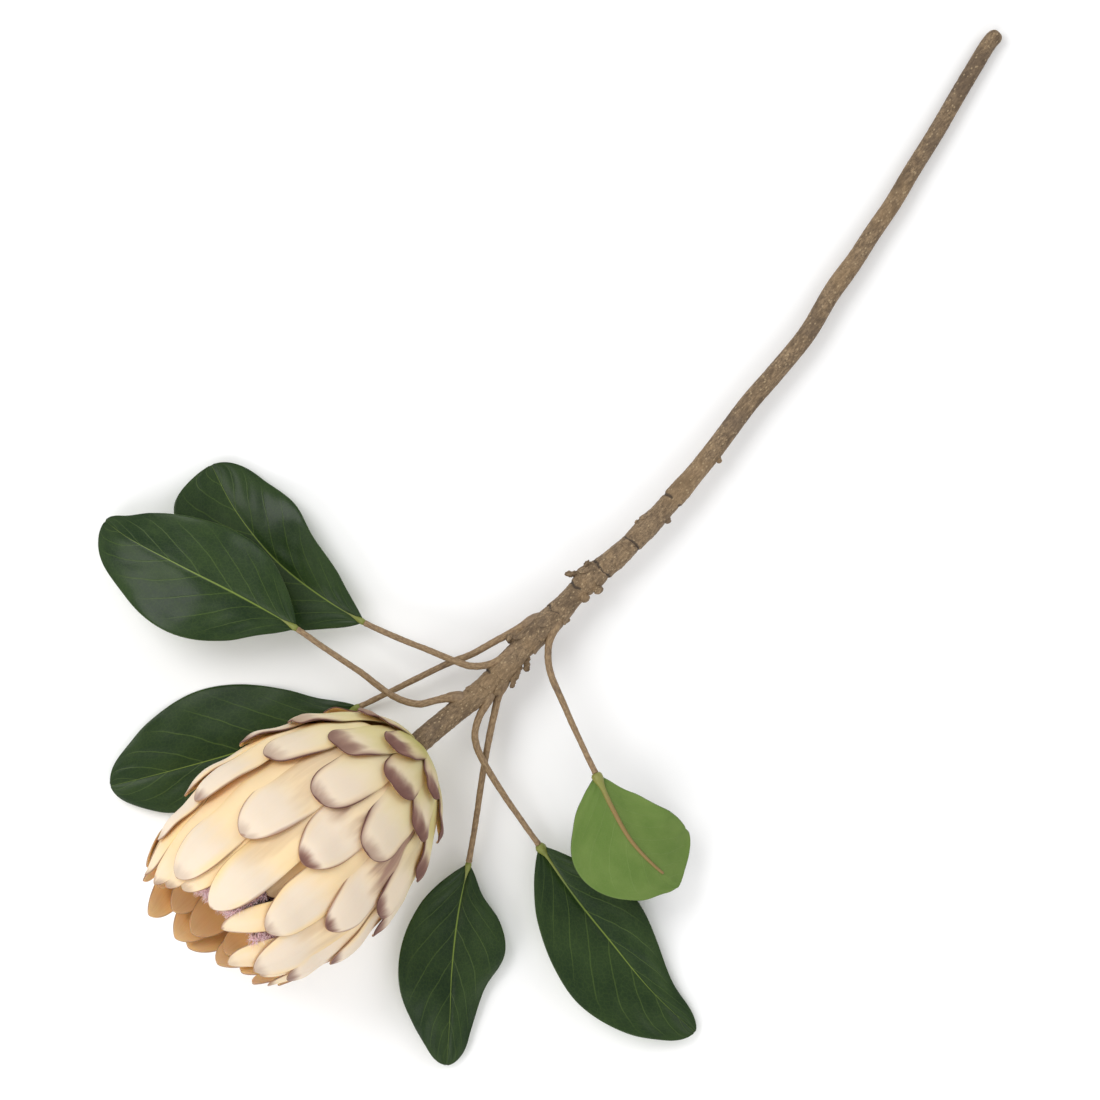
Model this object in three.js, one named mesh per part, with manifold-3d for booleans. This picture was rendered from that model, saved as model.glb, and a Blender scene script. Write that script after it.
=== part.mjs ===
// King protea: one cut flower head on a length of its woody stem, with six stalked leaves,
// lying on its side as it rests on a table. Millimetres, +Z up, and the table is the plane Z = 0.
// The stem runs along +Y to its cut end. The head's mouth looks along -Y, turned a little
// towards -X and raised a little off the table.
//
// The head is a set of overlapping whorls of bracts on a solid receptacle, round a dense bundle
// of florets. Every whorl lies one layer deeper than the whorl outside it, and comes up to the
// head's surface past that whorl's tips, so the layers never cross.

import * as THREE from "three";
import { mergeVertices } from "three/addons/utils/BufferGeometryUtils.js";
import Module from "manifold-3d";

const wasm = await Module();
wasm.setup();

// ---------------------------------------------------------------- driving dimensions, mm and degrees

const HEAD = {
  base: new THREE.Vector3(-4.8, -174.5, 33.8), // where the stem meets the receptacle
  yaw: 9, // turn of the mouth from -Y towards -X
  tilt: 22, // rise of the mouth above the table
  radius: 65.5, // at the widest station
  widestAt: 100, // station along the axis, from the base
  baseRoundness: 2.2, // exponent of the full, rounded end at the stem
  mouthTaper: 145, // how slowly the head closes towards its mouth
  mouthRoundness: 1.7,
  slant: 0.02, // share by which the bracts on top are shorter, and those below are longer
};

const BRACT = {
  thickness: 1.1,
  layer: 2.5, // radial step from one whorl to the next
  rise: 18, // length over which a whorl comes up to the surface past the tips outside it
  sink: 3, // how far a root is sunk into the receptacle
  crown: 0.0055, // extra crosswise curl, mm per mm squared
  settle: 0.6, // depth within which a tip still lies flat on the table
  pressed: 0.85, // share of its thickness that a bract keeps where the head's weight flattens it
};

// How finely a bract is divided: columns across it, and rows along it as shares of its length
const SHORT = { across: 4, rows: [0, 0.4, 0.7, 0.89, 1] };
const LONG = { across: 4, rows: [0, 0.3, 0.55, 0.76, 0.91, 1] };
const HIDDEN = { across: 3, rows: [0, 0.35, 0.65, 0.88, 1] };

// Whorls from the outermost at the stem to the innermost. Root and tip are stations along the axis,
// phase is the first bract's turn from the top, and lift is how far a tip stands off.
const WHORLS = [
  { count: 8, phase: 0, root: 3, tip: 21, width: 28, lift: 2.2, grid: SHORT },
  { count: 9, phase: 14, root: 7, tip: 45, width: 28, lift: 1.8, grid: SHORT },
  { count: 10, phase: -9, root: 11, tip: 82, width: 31, lift: 1.4, grid: LONG },
  { count: 11, phase: 7, root: 16, tip: 123, width: 31, lift: 1.0, grid: LONG },
  { count: 11, phase: -9.4, root: 22, tip: 162, width: 32, lift: 0.8, grid: LONG },
  { count: 11, phase: 7, root: 28, tip: 168, width: 29, lift: 0, grid: HIDDEN },
];

const RECEPTACLE = { neck: 9.5, topAt: 44, chamfer: 3 };

const FLORETS = {
  clear: 0.3, // gap to the receptacle that carries the bundle
  foot: 35, // radius at the receptacle
  waist: 42,
  waistAt: 112,
  rim: 43,
  rimAt: 137,
  crownAt: 145,
  styles: 140, // spikes that stand out of the bundle
  styleLength: 15,
  styleRadius: 1.1,
};

const STEM = {
  // centre line seen from above, from the head to the cut end
  plan: [
    [-4.8, -174.5], [-3.1, -163.5], [0.2, -144.2], [3.8, -122.3], [4.9, -90.4], [7.1, -65], [7.7, -39.5],
    [11.8, -15.4], [13.6, 10.5], [14.1, 34.5], [13.5, 61.4], [10.9, 99.5], [10.9, 121.6], [10, 150.7],
    [5.1, 178.4], [3, 201.1], [0.5, 218.8], [-2, 240.3], [-5.9, 261.5], [-9.8, 286.4], [-14, 308.8],
    [-18.1, 331.3], [-20.7, 347.5], [-20.2, 354.9],
  ],
  endHeight: 4.2, // centre line above the table at the cut end, which rests on it
  slopeRise: 17.3, // height that the long even slope gains towards the head
  neckRise: 12, // further rise, close behind the head
  neckLength: 34,
  radiusAtHead: 6.4,
  radiusAtEnd: 4.5,
  endRound: 4, // length over which the cut end is worn round
};

// Swellings of the stem at its old leaf scars: where, how much, and how long, in mm
const STEM_SWELLINGS = [
  { at: 44, rise: 0.5, spread: 9 },
  { at: 68, rise: 1.0, spread: 12 },
  { at: 101, rise: 1.9, spread: 15 },
  { at: 141, rise: 1.9, spread: 8 },
  { at: 159, rise: 0.6, spread: 7 },
  { at: 171, rise: -0.6, spread: 2.5 },
  { at: 186, rise: 0.6, spread: 8 },
  { at: 199, rise: -0.5, spread: 2.5 },
  { at: 211, rise: 0.5, spread: 7 },
  { at: 366, rise: 0.4, spread: 12 },
];

// Snags of broken side shoots: station along the stem, turn round it (0 is up, 90 is towards +X),
// lean towards the head, length and radius
const SNAGS = [
  { at: 142, turn: -80, lean: 52, length: 10, radius: 1.9 },
  { at: 139, turn: 75, lean: 25, length: 4, radius: 2.6 },
  { at: 131, turn: 62, lean: 20, length: 3.5, radius: 2.1 },
  { at: 84, turn: 82, lean: 60, length: 12, radius: 1.9 },
  { at: 190, turn: 80, lean: 30, length: 3, radius: 1.7 },
  { at: 195, turn: -78, lean: 55, length: 3, radius: 1.6 },
  { at: 243, turn: 84, lean: 30, length: 4, radius: 1.3 },
];

const LEAF_THICKNESS = 0.9;
const JOINT_GAP = 0.3; // between pieces that touch on the real plant

// Each leaf: its stalk's line from inside the stem, then its midrib's line to the tip. Left and right
// are the half widths on each side of the midrib, looking from the stalk, at six shares of the
// blade's length. Roll turns the blade round its midrib, from the base to the tip. Fold raises both
// halves, and wave ripples the edges.
const WIDTH_AT = [0.06, 0.2, 0.4, 0.6, 0.8, 0.94];
const LEAVES = [
  {
    stalk: [[3.1, -134.2, 23.8], [-7, -140.3, 27.1], [-13, -147.4, 30.6], [-19, -155.4, 32.5],
      [-32.1, -161, 34.8], [-56.2, -163.1, 36.6], [-83.2, -166.5, 36], [-99.3, -168.3, 34.4]],
    midrib: [[-135.4, -175.5, 32.9], [-172.5, -184.9, 28.2], [-207, -193.3, 18], [-224.5, -195.5, 7.9]],
    left: [12, 26, 36, 35, 25.5, 15], right: [14.5, 27, 32, 28, 18.5, 8],
    roll: [-6, 4], fold: 0.16, wave: 2.0, waves: 1.5, shift: 0.2,
  },
  {
    stalk: [[4.1, -90.2, 19.7], [1.6, -100.2, 23.1], [-3.4, -112.2, 25.4], [-10.9, -119.8, 26.3],
      [-19, -123.3, 26.4], [-35, -128.8, 25.4], [-51.1, -134.5, 23.3], [-73.1, -141.2, 18.8]],
    midrib: [[-98.3, -145.9, 15.7], [-135.2, -147.7, 12.6], [-171.7, -141.4, 9.5], [-199.5, -131, 5.6]],
    left: [11.5, 25, 36, 38.5, 34, 24], right: [9, 18, 25, 30, 24, 15],
    roll: [10, -8], fold: 0.1, wave: 2.0, waves: 1.5, shift: 0.6,
  },
  {
    stalk: [[3, -70.1, 18.6], [-2.4, -82.1, 18.9], [-8.7, -98.1, 19.1], [-15, -115.2, 18.2],
      [-21.2, -126.9, 17.1], [-33.4, -155.8, 12.5], [-43.6, -180.1, 5.4]],
    midrib: [[-59, -212.1, 3.5], [-83, -252.1, 4.4], [-108, -289.1, 6], [-122, -309, 5.2]],
    left: [9, 15, 20, 24, 23.5, 13], right: [11, 25, 38, 40.5, 30, 15.5],
    roll: [-4, -1], fold: 0, wave: 1.2, waves: 1.3, shift: 0.1,
  },
  {
    stalk: [[3.1, -106.2, 20.8], [9.9, -115.2, 21.1], [12.7, -122.8, 20.1], [17.7, -132.2, 19.3],
      [22.8, -141.5, 18.8], [32.6, -158.1, 18.4], [49.5, -184.7, 16.1], [62.6, -206.2, 13.4]],
    midrib: [[77.6, -232.8, 11], [95.7, -259, 8.7], [114, -282, 6.7], [130, -303.5, 4]],
    left: [9, 23, 29.5, 19.5, 13, 8.5], right: [12.5, 23, 30.5, 30, 21, 10.5],
    roll: [4, 6], fold: 0.1, wave: 1.8, waves: 1.4, shift: 0.45,
  },
  {
    stalk: [[3.1, -118.2, 21.8], [9.6, -129.3, 23.8], [12.1, -138.8, 24.7], [16.1, -146.9, 25.1],
      [22.3, -152.3, 24.9], [34.4, -157.6, 24.3], [53.2, -163.4, 22.4], [70.2, -167.8, 20],
      [86.2, -171.8, 17.6]],
    midrib: [[120.2, -180.7, 13.8], [155.1, -187.1, 10.6], [190, -193, 7.5], [225.5, -195, 4.8]],
    left: [10.5, 23, 27, 20.5, 13.5, 10], right: [13, 25, 35, 38, 31, 19],
    roll: [0, 10], fold: 0.12, wave: 2.0, waves: 1.4, shift: 0.0,
  },
  {
    stalk: [[4.1, -60.1, 18.2], [10.6, -70.1, 22.3], [14.6, -80.6, 25.4], [21.6, -89.2, 28.1],
      [28.7, -94.2, 30.4], [38.2, -98.7, 32.7], [57.9, -107.9, 35.9], [83, -118.9, 37.5]],
    midrib: [[102.2, -127.4, 39.5], [122.3, -134.5, 38], [144.4, -137.1, 31], [161.4, -136.2, 22]],
    left: [14.5, 25.5, 35, 32, 20.5, 8], right: [8.5, 17.5, 26.5, 30, 29.5, 23],
    roll: [188, 196], fold: 0.1, wave: 1.5, waves: 1.2, shift: 0.3,
  },
];

const STALK_RADIUS = { root: 2.2, end: 1.7 };
const RIB = { start: 2.4, end: 0.9, share: 0.66 }; // raised midrib under the blade, as a share of its length
const BLADE_START = 6; // the blade begins this far along the green collar of the rib

// Moves the flower so that the middle of its extent stands on the origin
const CENTRE = [0, -3.8, 0];

const COLOURS = {
  bracts: new THREE.MeshStandardMaterial({ color: 0xf0dcc0, roughness: 0.75, metalness: 0 }),
  florets: new THREE.MeshStandardMaterial({ color: 0xb993a0, roughness: 0.95, metalness: 0 }),
  stem: new THREE.MeshStandardMaterial({ color: 0x7d6b58, roughness: 0.9, metalness: 0 }),
  stalk: new THREE.MeshStandardMaterial({ color: 0x9a7d5c, roughness: 0.7, metalness: 0 }),
  leaf: new THREE.MeshStandardMaterial({ color: 0x2c4a30, roughness: 0.35, metalness: 0 }),
};

// ---------------------------------------------------------------- solids

// A closed geometry as a manifold solid, its faces turned outwards.
function solidFrom(geometry) {
  const bare = new THREE.BufferGeometry();
  bare.setAttribute("position", geometry.getAttribute("position"));
  bare.setIndex(geometry.index);
  const merged = mergeVertices(bare, 1e-4);
  const position = merged.getAttribute("position");
  const index = merged.index.array;
  const corner = (i) => new THREE.Vector3().fromBufferAttribute(position, i);
  const triangles = [];
  let volume = 0;
  for (let i = 0; i < index.length; i += 3) {
    const [a, b, c] = [index[i], index[i + 1], index[i + 2]];
    if (a === b || b === c || c === a) continue;
    triangles.push([a, b, c]);
    volume += corner(a).dot(corner(b).cross(corner(c)));
  }
  const outward = volume < 0 ? triangles.map(([a, b, c]) => [a, c, b]) : triangles;
  return new wasm.Manifold(new wasm.Mesh({
    numProp: 3,
    vertProperties: new Float32Array(position.array),
    triVerts: new Uint32Array(outward.flat()),
  }));
}

function meshFrom(name, solid, material) {
  const made = solid.translate(CENTRE).getMesh();
  const geometry = new THREE.BufferGeometry();
  geometry.setAttribute("position", new THREE.BufferAttribute(made.vertProperties, 3));
  geometry.setIndex(new THREE.BufferAttribute(made.triVerts, 1));
  geometry.computeVertexNormals();
  const mesh = new THREE.Mesh(geometry, material);
  mesh.name = name;
  return mesh;
}

// A thin closed sheet. surface(u, v, side) gives its points, with u from -1 to 1, v from 0 to 1,
// and side 1 on the outer face and -1 on the inner one. Both faces are split along the same
// diagonals, so a waved sheet keeps its thickness.
function sheetSolid(across, rows, surface) {
  const positions = [];
  const index = [];
  const columns = across + 1;
  const sideOffset = columns * rows.length;
  for (const side of [1, -1]) {
    for (const v of rows) {
      for (let i = 0; i < columns; i++) {
        positions.push(...surface((2 * i) / across - 1, v, side).toArray());
      }
    }
  }
  for (let j = 0; j + 1 < rows.length; j++) {
    for (let i = 0; i < across; i++) {
      const a = j * columns + i;
      const [b, c, d] = [a + 1, a + columns, a + columns + 1];
      index.push(a, b, d, a, d, c);
      for (const k of [a, d, b, a, c, d]) index.push(k + sideOffset);
    }
  }
  const last = (rows.length - 1) * columns;
  const rim = [];
  for (let i = 0; i < across; i++) rim.push(i);
  for (let j = 0; j + 1 < rows.length; j++) rim.push(j * columns + across);
  for (let i = across; i > 0; i--) rim.push(last + i);
  for (let j = rows.length - 1; j > 0; j--) rim.push(j * columns);
  rim.forEach((a, i) => {
    const b = rim[(i + 1) % rim.length];
    index.push(b, a, a + sideOffset, b, a + sideOffset, b + sideOffset);
  });
  const geometry = new THREE.BufferGeometry();
  geometry.setAttribute("position", new THREE.Float32BufferAttribute(positions, 3));
  geometry.setIndex(index);
  return solidFrom(geometry);
}

// A smooth line through points, read by the distance along it.
class Route {
  constructor(points, samples = 400) {
    const curve = new THREE.CatmullRomCurve3(points, false, "centripetal");
    this.points = curve.getPoints(samples);
    this.distances = [0];
    for (let i = 1; i < this.points.length; i++) {
      this.distances.push(this.distances[i - 1] + this.points[i].distanceTo(this.points[i - 1]));
    }
    this.length = this.distances[samples];
  }

  point(distance) {
    const d = Math.min(Math.max(distance, 0), this.length);
    let i = this.distances.findIndex((x) => x >= d);
    i = Math.max(i, 1);
    const share = (d - this.distances[i - 1]) / (this.distances[i] - this.distances[i - 1]);
    return this.points[i - 1].clone().lerp(this.points[i], share);
  }

  // Unit vectors: along the line, level to its right, and square to both, upwards.
  frame(distance) {
    const step = 1.5;
    const along = this.point(distance + step).sub(this.point(distance - step)).normalize();
    const right = along.clone().cross(new THREE.Vector3(0, 0, 1)).normalize();
    const up = right.clone().cross(along);
    return { along, right, up };
  }

  // Distance along the line of the point nearest to p.
  nearest(p) {
    let best = 0;
    this.points.forEach((q, i) => {
      if (q.distanceTo(p) < this.points[best].distanceTo(p)) best = i;
    });
    return this.distances[best];
  }
}

// A rod along a route: an upright cylinder whose rings are carried along the line.
function rodSolid(route, from, to, sides, steps, radiusAt) {
  const geometry = new THREE.CylinderGeometry(1, 1, 1, sides, steps);
  const position = geometry.getAttribute("position");
  for (let i = 0; i < position.count; i++) {
    const distance = from + (position.getY(i) + 0.5) * (to - from);
    const { right, up } = route.frame(distance);
    const radius = radiusAt(distance);
    const p = route.point(distance)
      .addScaledVector(right, position.getX(i) * radius)
      .addScaledVector(up, position.getZ(i) * radius);
    position.setXYZ(i, p.x, p.y, p.z);
  }
  return solidFrom(geometry);
}

const smooth = (x) => {
  const t = Math.min(Math.max(x, 0), 1);
  return t * t * (3 - 2 * t);
};
const bump = (x) => Math.exp(-x * x);
const radians = THREE.MathUtils.degToRad;

// Seeded draws between -1 and 1.
function drawer(seed) {
  let state = seed;
  return () => {
    state = (state * 16807) % 2147483647;
    return (2 * state) / 2147483647 - 1;
  };
}

// ---------------------------------------------------------------- the head's shape

const yaw = radians(HEAD.yaw);
const tilt = radians(HEAD.tilt);
const axis = new THREE.Vector3(
  -Math.sin(yaw) * Math.cos(tilt), -Math.cos(yaw) * Math.cos(tilt), Math.sin(tilt));
const headRight = new THREE.Vector3(Math.cos(yaw), -Math.sin(yaw), 0);
const headTop = axis.clone().cross(headRight);

// Point at a station along the head's axis, a radius from it, and a turn round it from the top.
function headPoint(station, radius, turn) {
  return HEAD.base.clone()
    .addScaledVector(axis, station)
    .addScaledVector(headTop, radius * Math.cos(turn))
    .addScaledVector(headRight, radius * Math.sin(turn));
}

function headRadius(station) {
  if (station < HEAD.widestAt) {
    const back = (HEAD.widestAt - station) / HEAD.widestAt;
    return HEAD.radius * (1 - back ** HEAD.baseRoundness) ** (1 / HEAD.baseRoundness);
  }
  return HEAD.radius * (1 - ((station - HEAD.widestAt) / HEAD.mouthTaper) ** HEAD.mouthRoundness);
}

// The head's outline as a line that is read by its own length, with its outward normal.
const outline = (() => {
  const count = 600;
  const reach = 200;
  const rows = [{ station: 0, radius: 0, length: 0 }];
  for (let i = 1; i <= count; i++) {
    const station = reach * (i / count) ** 2;
    const radius = headRadius(station);
    const before = rows[i - 1];
    const length = before.length + Math.hypot(station - before.station, radius - before.radius);
    rows.push({ station, radius, length });
  }
  return rows;
})();

function outlineAt(length) {
  let i = outline.findIndex((row) => row.length >= length);
  if (i < 1) i = i < 0 ? outline.length - 1 : 1;
  const [a, b] = [outline[i - 1], outline[i]];
  const share = (length - a.length) / (b.length - a.length);
  const span = b.length - a.length;
  return {
    station: a.station + share * (b.station - a.station),
    radius: a.radius + share * (b.radius - a.radius),
    normalStation: -(b.radius - a.radius) / span,
    normalRadius: (b.station - a.station) / span,
  };
}

const lengthAtStation = (station) => outline.find((row) => row.station >= station).length;

// Depth of a whorl under the head's surface: one layer for each outer whorl that still covers it.
function layerDepth(whorl, station) {
  let layers = 0;
  for (const outer of WHORLS.slice(0, whorl)) {
    layers += 1 - smooth((station - outer.tip - 4) / BRACT.rise);
  }
  return layers * BRACT.layer;
}

// Point at a length along the outline, a depth below it and a turn round the axis. The table
// presses whatever would reach through it flat, each layer at its own height.
function underSurface(length, depth, pressedDepth, turnAt) {
  const at = outlineAt(length);
  const station = at.station - depth * at.normalStation;
  const radius = Math.max(at.radius - depth * at.normalRadius, 0.5);
  const p = headPoint(station, radius, turnAt(radius));
  p.z = Math.max(p.z, BRACT.pressed * pressedDepth);
  return p;
}

// ---------------------------------------------------------------- receptacle and bracts

// The receptacle's flank passes through every whorl's roots.
function receptacleSolid() {
  const profile = [new THREE.Vector2(0, 0), new THREE.Vector2(RECEPTACLE.neck, 0)];
  WHORLS.forEach((whorl, k) => {
    const at = outlineAt(lengthAtStation(whorl.root));
    const depth = layerDepth(k, whorl.root) + BRACT.thickness / 2;
    profile.push(new THREE.Vector2(
      at.radius - depth * at.normalRadius, at.station - depth * at.normalStation));
  });
  const shoulder = profile[profile.length - 1].x;
  profile.push(new THREE.Vector2(shoulder, RECEPTACLE.topAt - RECEPTACLE.chamfer));
  profile.push(new THREE.Vector2(shoulder - RECEPTACLE.chamfer, RECEPTACLE.topAt));
  profile.push(new THREE.Vector2(0, RECEPTACLE.topAt));
  return turnedSolid(profile, 24);
}

// A lathe profile of (radius, station) turned round the head's axis.
function turnedSolid(profile, sides) {
  const geometry = new THREE.LatheGeometry(profile, sides);
  const position = geometry.getAttribute("position");
  for (let i = 0; i < position.count; i++) {
    const p = headPoint(position.getY(i), Math.hypot(position.getX(i), position.getZ(i)),
      Math.atan2(position.getX(i), position.getZ(i)));
    position.setXYZ(i, p.x, p.y, p.z);
  }
  return solidFrom(geometry);
}

// Half width of a bract along its length: a strap that widens from the root to a rounded tip.
function bractHalfWidth(v) {
  const widestAt = 0.66;
  const strap = 0.5 + 0.5 * smooth(v / widestAt);
  if (v < widestAt) return strap;
  const past = (v - widestAt) / (1 - widestAt);
  return Math.max((1 - past ** 2.3) ** 0.62, 0.1);
}

function bractSolid(k, turn, draw) {
  const whorl = WHORLS[k];
  const tip = whorl.tip * (1 - HEAD.slant * Math.cos(turn)) + 4 * draw();
  const lift = whorl.lift * (1 + 0.6 * draw());
  const twist = radians(3 * draw());
  const halfWidth = (whorl.width / 2) * (1 + 0.06 * draw());
  const from = lengthAtStation(whorl.root);
  const to = lengthAtStation(tip);
  return sheetSolid(whorl.grid.across, whorl.grid.rows, (u, v, side) => {
    const length = from + (to - from) * v;
    const station = outlineAt(length).station;
    const pitch = (Math.PI / whorl.count) * outlineAt(length).radius;
    const half = Math.min(halfWidth * bractHalfWidth(v), 0.86 * pitch);
    const across = u * half;
    const layers = layerDepth(k, station);
    const inner = side > 0 ? 0 : BRACT.thickness;
    const pressedDepth = Math.max(layers - BRACT.settle, 0) + inner;
    const depth = layers + inner + BRACT.sink * (1 - smooth(v / 0.14))
      + BRACT.crown * across * across - lift * smooth((v - 0.78) / 0.22);
    return underSurface(length, depth, pressedDepth,
      (radius) => turn + twist * (v - 0.5) + across / Math.max(radius, 8));
  });
}

function bractsSolid() {
  const draw = drawer(2718);
  let solid = receptacleSolid();
  WHORLS.forEach((whorl, k) => {
    for (let i = 0; i < whorl.count; i++) {
      const turn = radians(whorl.phase + (360 * i) / whorl.count + 2 * draw());
      solid = solid.add(bractSolid(k, turn, draw));
    }
  });
  return solid;
}

// ---------------------------------------------------------------- florets

function floretsSolid() {
  const foot = RECEPTACLE.topAt + FLORETS.clear;
  const profile = [
    [0, foot], [FLORETS.foot, foot], [FLORETS.waist, FLORETS.waistAt], [FLORETS.rim, FLORETS.rimAt],
    [FLORETS.rim * 0.8, FLORETS.rimAt + 5], [FLORETS.rim * 0.45, FLORETS.crownAt], [0, FLORETS.crownAt + 2],
  ].map(([radius, station]) => new THREE.Vector2(radius, station));
  let solid = turnedSolid(profile, 20);
  const draw = drawer(1618);
  const golden = Math.PI * (3 - Math.sqrt(5));
  for (let i = 0; i < FLORETS.styles; i++) {
    // Even over the dome, with the outermost ring leaning out of the rim.
    const share = Math.sqrt((i + 0.5) / FLORETS.styles);
    const turn = i * golden;
    const rootRadius = FLORETS.rim * 0.94 * share;
    const rootStation = FLORETS.crownAt - 9 * share * share - 4;
    const length = FLORETS.styleLength * (1 + 0.2 * draw());
    const tipRadius = rootRadius + (share > 0.8 ? 4 : -3) * share;
    solid = solid.add(spike(
      headPoint(rootStation, rootRadius, turn),
      headPoint(rootStation + length, tipRadius, turn + 0.05 * draw()),
      FLORETS.styleRadius));
  }
  return solid;
}

// A slim three-sided spike.
function spike(root, tip, radius) {
  const length = root.distanceTo(tip);
  const geometry = new THREE.ConeGeometry(radius, length, 3, 1);
  geometry.translate(0, length / 2, 0);
  const turn = new THREE.Quaternion().setFromUnitVectors(
    new THREE.Vector3(0, 1, 0), tip.clone().sub(root).normalize());
  geometry.applyQuaternion(turn);
  geometry.translate(root.x, root.y, root.z);
  return solidFrom(geometry);
}

// ---------------------------------------------------------------- stem

const stemRoute = (() => {
  const plan = STEM.plan.map(([x, y]) => new THREE.Vector2(x, y));
  const runs = [0];
  for (let i = 1; i < plan.length; i++) runs.push(runs[i - 1] + plan[i].distanceTo(plan[i - 1]));
  const whole = runs[runs.length - 1];
  return new Route(plan.map((p, i) => new THREE.Vector3(p.x, p.y,
    STEM.endHeight + STEM.slopeRise * (1 - runs[i] / whole)
    + STEM.neckRise * Math.exp(-runs[i] / STEM.neckLength))));
})();

function stemRadius(distance) {
  const share = distance / stemRoute.length;
  let radius = STEM.radiusAtHead + (STEM.radiusAtEnd - STEM.radiusAtHead) * share;
  for (const s of STEM_SWELLINGS) radius += s.rise * bump((distance - s.at) / s.spread);
  const toEnd = (stemRoute.length - distance) / STEM.endRound;
  return toEnd < 1 ? radius * Math.sqrt(1 - 0.75 * (1 - toEnd) ** 2) : radius;
}

function stemSolid() {
  let solid = rodSolid(stemRoute, 2 * JOINT_GAP, stemRoute.length, 12, 50, stemRadius);
  for (const snag of SNAGS) {
    const { along, right, up } = stemRoute.frame(snag.at);
    const turn = radians(snag.turn);
    const lean = radians(snag.lean);
    const outward = up.multiplyScalar(Math.cos(turn)).addScaledVector(right, Math.sin(turn));
    const way = outward.multiplyScalar(Math.cos(lean)).addScaledVector(along, -Math.sin(lean));
    const root = stemRoute.point(snag.at);
    const reach = stemRadius(snag.at) / Math.cos(lean) + snag.length;
    const geometry = new THREE.CylinderGeometry(snag.radius * 0.7, snag.radius, reach, 6, 1);
    geometry.translate(0, reach / 2, 0);
    geometry.applyQuaternion(new THREE.Quaternion().setFromUnitVectors(new THREE.Vector3(0, 1, 0), way));
    geometry.translate(root.x, root.y, root.z);
    solid = solid.add(solidFrom(geometry));
  }
  return solid;
}

// The stem with the joint gap round it, which each stalk's foot is cut back to.
const stemWithGap = rodSolid(stemRoute, 0, stemRoute.length, 12, 50, (d) => stemRadius(d) + JOINT_GAP);

// ---------------------------------------------------------------- leaves

const vectors = (list) => list.map((p) => new THREE.Vector3(...p));

function leafRoute(leaf) {
  const route = new Route([...vectors(leaf.stalk), ...vectors(leaf.midrib)]);
  return { route, joint: route.nearest(vectors(leaf.stalk).pop()) };
}

// One side's half width at v: the listed widths joined by a smooth line, with round ends.
function halfWidth(widths, v) {
  const oval = (x) => Math.sqrt(x * (1 - x));
  const full = widths.map((width, i) => width / oval(WIDTH_AT[i]));
  const x = Math.min(Math.max(v, WIDTH_AT[0]), WIDTH_AT[5]);
  const i = Math.min(Math.max(WIDTH_AT.findIndex((at) => at >= x) - 1, 0), 4);
  const span = WIDTH_AT[i + 1] - WIDTH_AT[i];
  const slope = (k) => (k === 0 || k === 5 ? 0 : (full[k + 1] - full[k - 1]) / (WIDTH_AT[k + 1] - WIDTH_AT[k - 1]));
  const t = (x - WIDTH_AT[i]) / span;
  const joined = (2 * t ** 3 - 3 * t ** 2 + 1) * full[i] + (3 * t ** 2 - 2 * t ** 3) * full[i + 1]
    + (t ** 3 - 2 * t ** 2 + t) * span * slope(i) + (t ** 3 - t ** 2) * span * slope(i + 1);
  return joined * oval(Math.min(Math.max(v, 0.004), 0.996));
}

function bladePoint(leaf, route, from, u, v, offset) {
  const distance = from + (route.length - from) * v;
  const { right, up } = route.frame(distance);
  const roll = radians(leaf.roll[0] + (leaf.roll[1] - leaf.roll[0]) * v);
  const side = right.clone().multiplyScalar(Math.cos(roll)).addScaledVector(up, Math.sin(roll));
  const face = up.clone().multiplyScalar(Math.cos(roll)).addScaledVector(right, -Math.sin(roll));
  const widths = u > 0 ? leaf.right : leaf.left;
  const half = Math.max(halfWidth(widths, v), 2);
  const across = u * half;
  const phase = 2 * Math.PI * (leaf.waves * v + leaf.shift) + (u > 0 ? 0 : 1.9);
  const ripple = leaf.wave * u * u * Math.sin(phase) * (half / Math.max(...widths));
  const height = leaf.fold * Math.abs(across) + ripple + offset;
  return route.point(distance).addScaledVector(side, across).addScaledVector(face, height);
}

function leafSolids(leaf) {
  const { route, joint } = leafRoute(leaf);
  const stalk = rodSolid(route, 0, joint - JOINT_GAP / 2, 6, 13,
    (d) => STALK_RADIUS.root + (STALK_RADIUS.end - STALK_RADIUS.root) * smooth(d / joint))
    .subtract(stemWithGap);
  const from = joint + BLADE_START;
  const rows = [0, 0.07, 0.16, 0.28, 0.4, 0.52, 0.64, 0.76, 0.87, 0.95, 1];
  const blade = sheetSolid(4, rows, (u, v, side) =>
    bladePoint(leaf, route, from, u, v, (side * LEAF_THICKNESS) / 2));
  const ribEnd = from + (route.length - from) * RIB.share;
  const rib = ribSolid(leaf, route, joint + JOINT_GAP / 2, from, ribEnd);
  return { stalk, blade: blade.add(rib) };
}

// The green collar at the stalk's end, which runs on as the raised midrib under the blade.
function ribSolid(leaf, route, start, bladeFrom, end) {
  const geometry = new THREE.CylinderGeometry(1, 1, 1, 5, 8);
  const position = geometry.getAttribute("position");
  for (let i = 0; i < position.count; i++) {
    const share = position.getY(i) + 0.5;
    const distance = start + share * (end - start);
    const v = Math.max((distance - bladeFrom) / (route.length - bladeFrom), 0);
    const roll = radians(leaf.roll[0] + (leaf.roll[1] - leaf.roll[0]) * v);
    const { right, up } = route.frame(distance);
    const side = right.clone().multiplyScalar(Math.cos(roll)).addScaledVector(up, Math.sin(roll));
    const face = up.clone().multiplyScalar(Math.cos(roll)).addScaledVector(right, -Math.sin(roll));
    const radius = RIB.start + (RIB.end - RIB.start) * smooth((distance - start) / 18);
    const drop = 0.6 * radius * smooth((distance - start) / 10);
    const p = route.point(distance)
      .addScaledVector(side, position.getX(i) * radius)
      .addScaledVector(face, position.getZ(i) * radius - drop);
    position.setXYZ(i, p.x, p.y, p.z);
  }
  return solidFrom(geometry);
}

// ---------------------------------------------------------------- the flower

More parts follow.
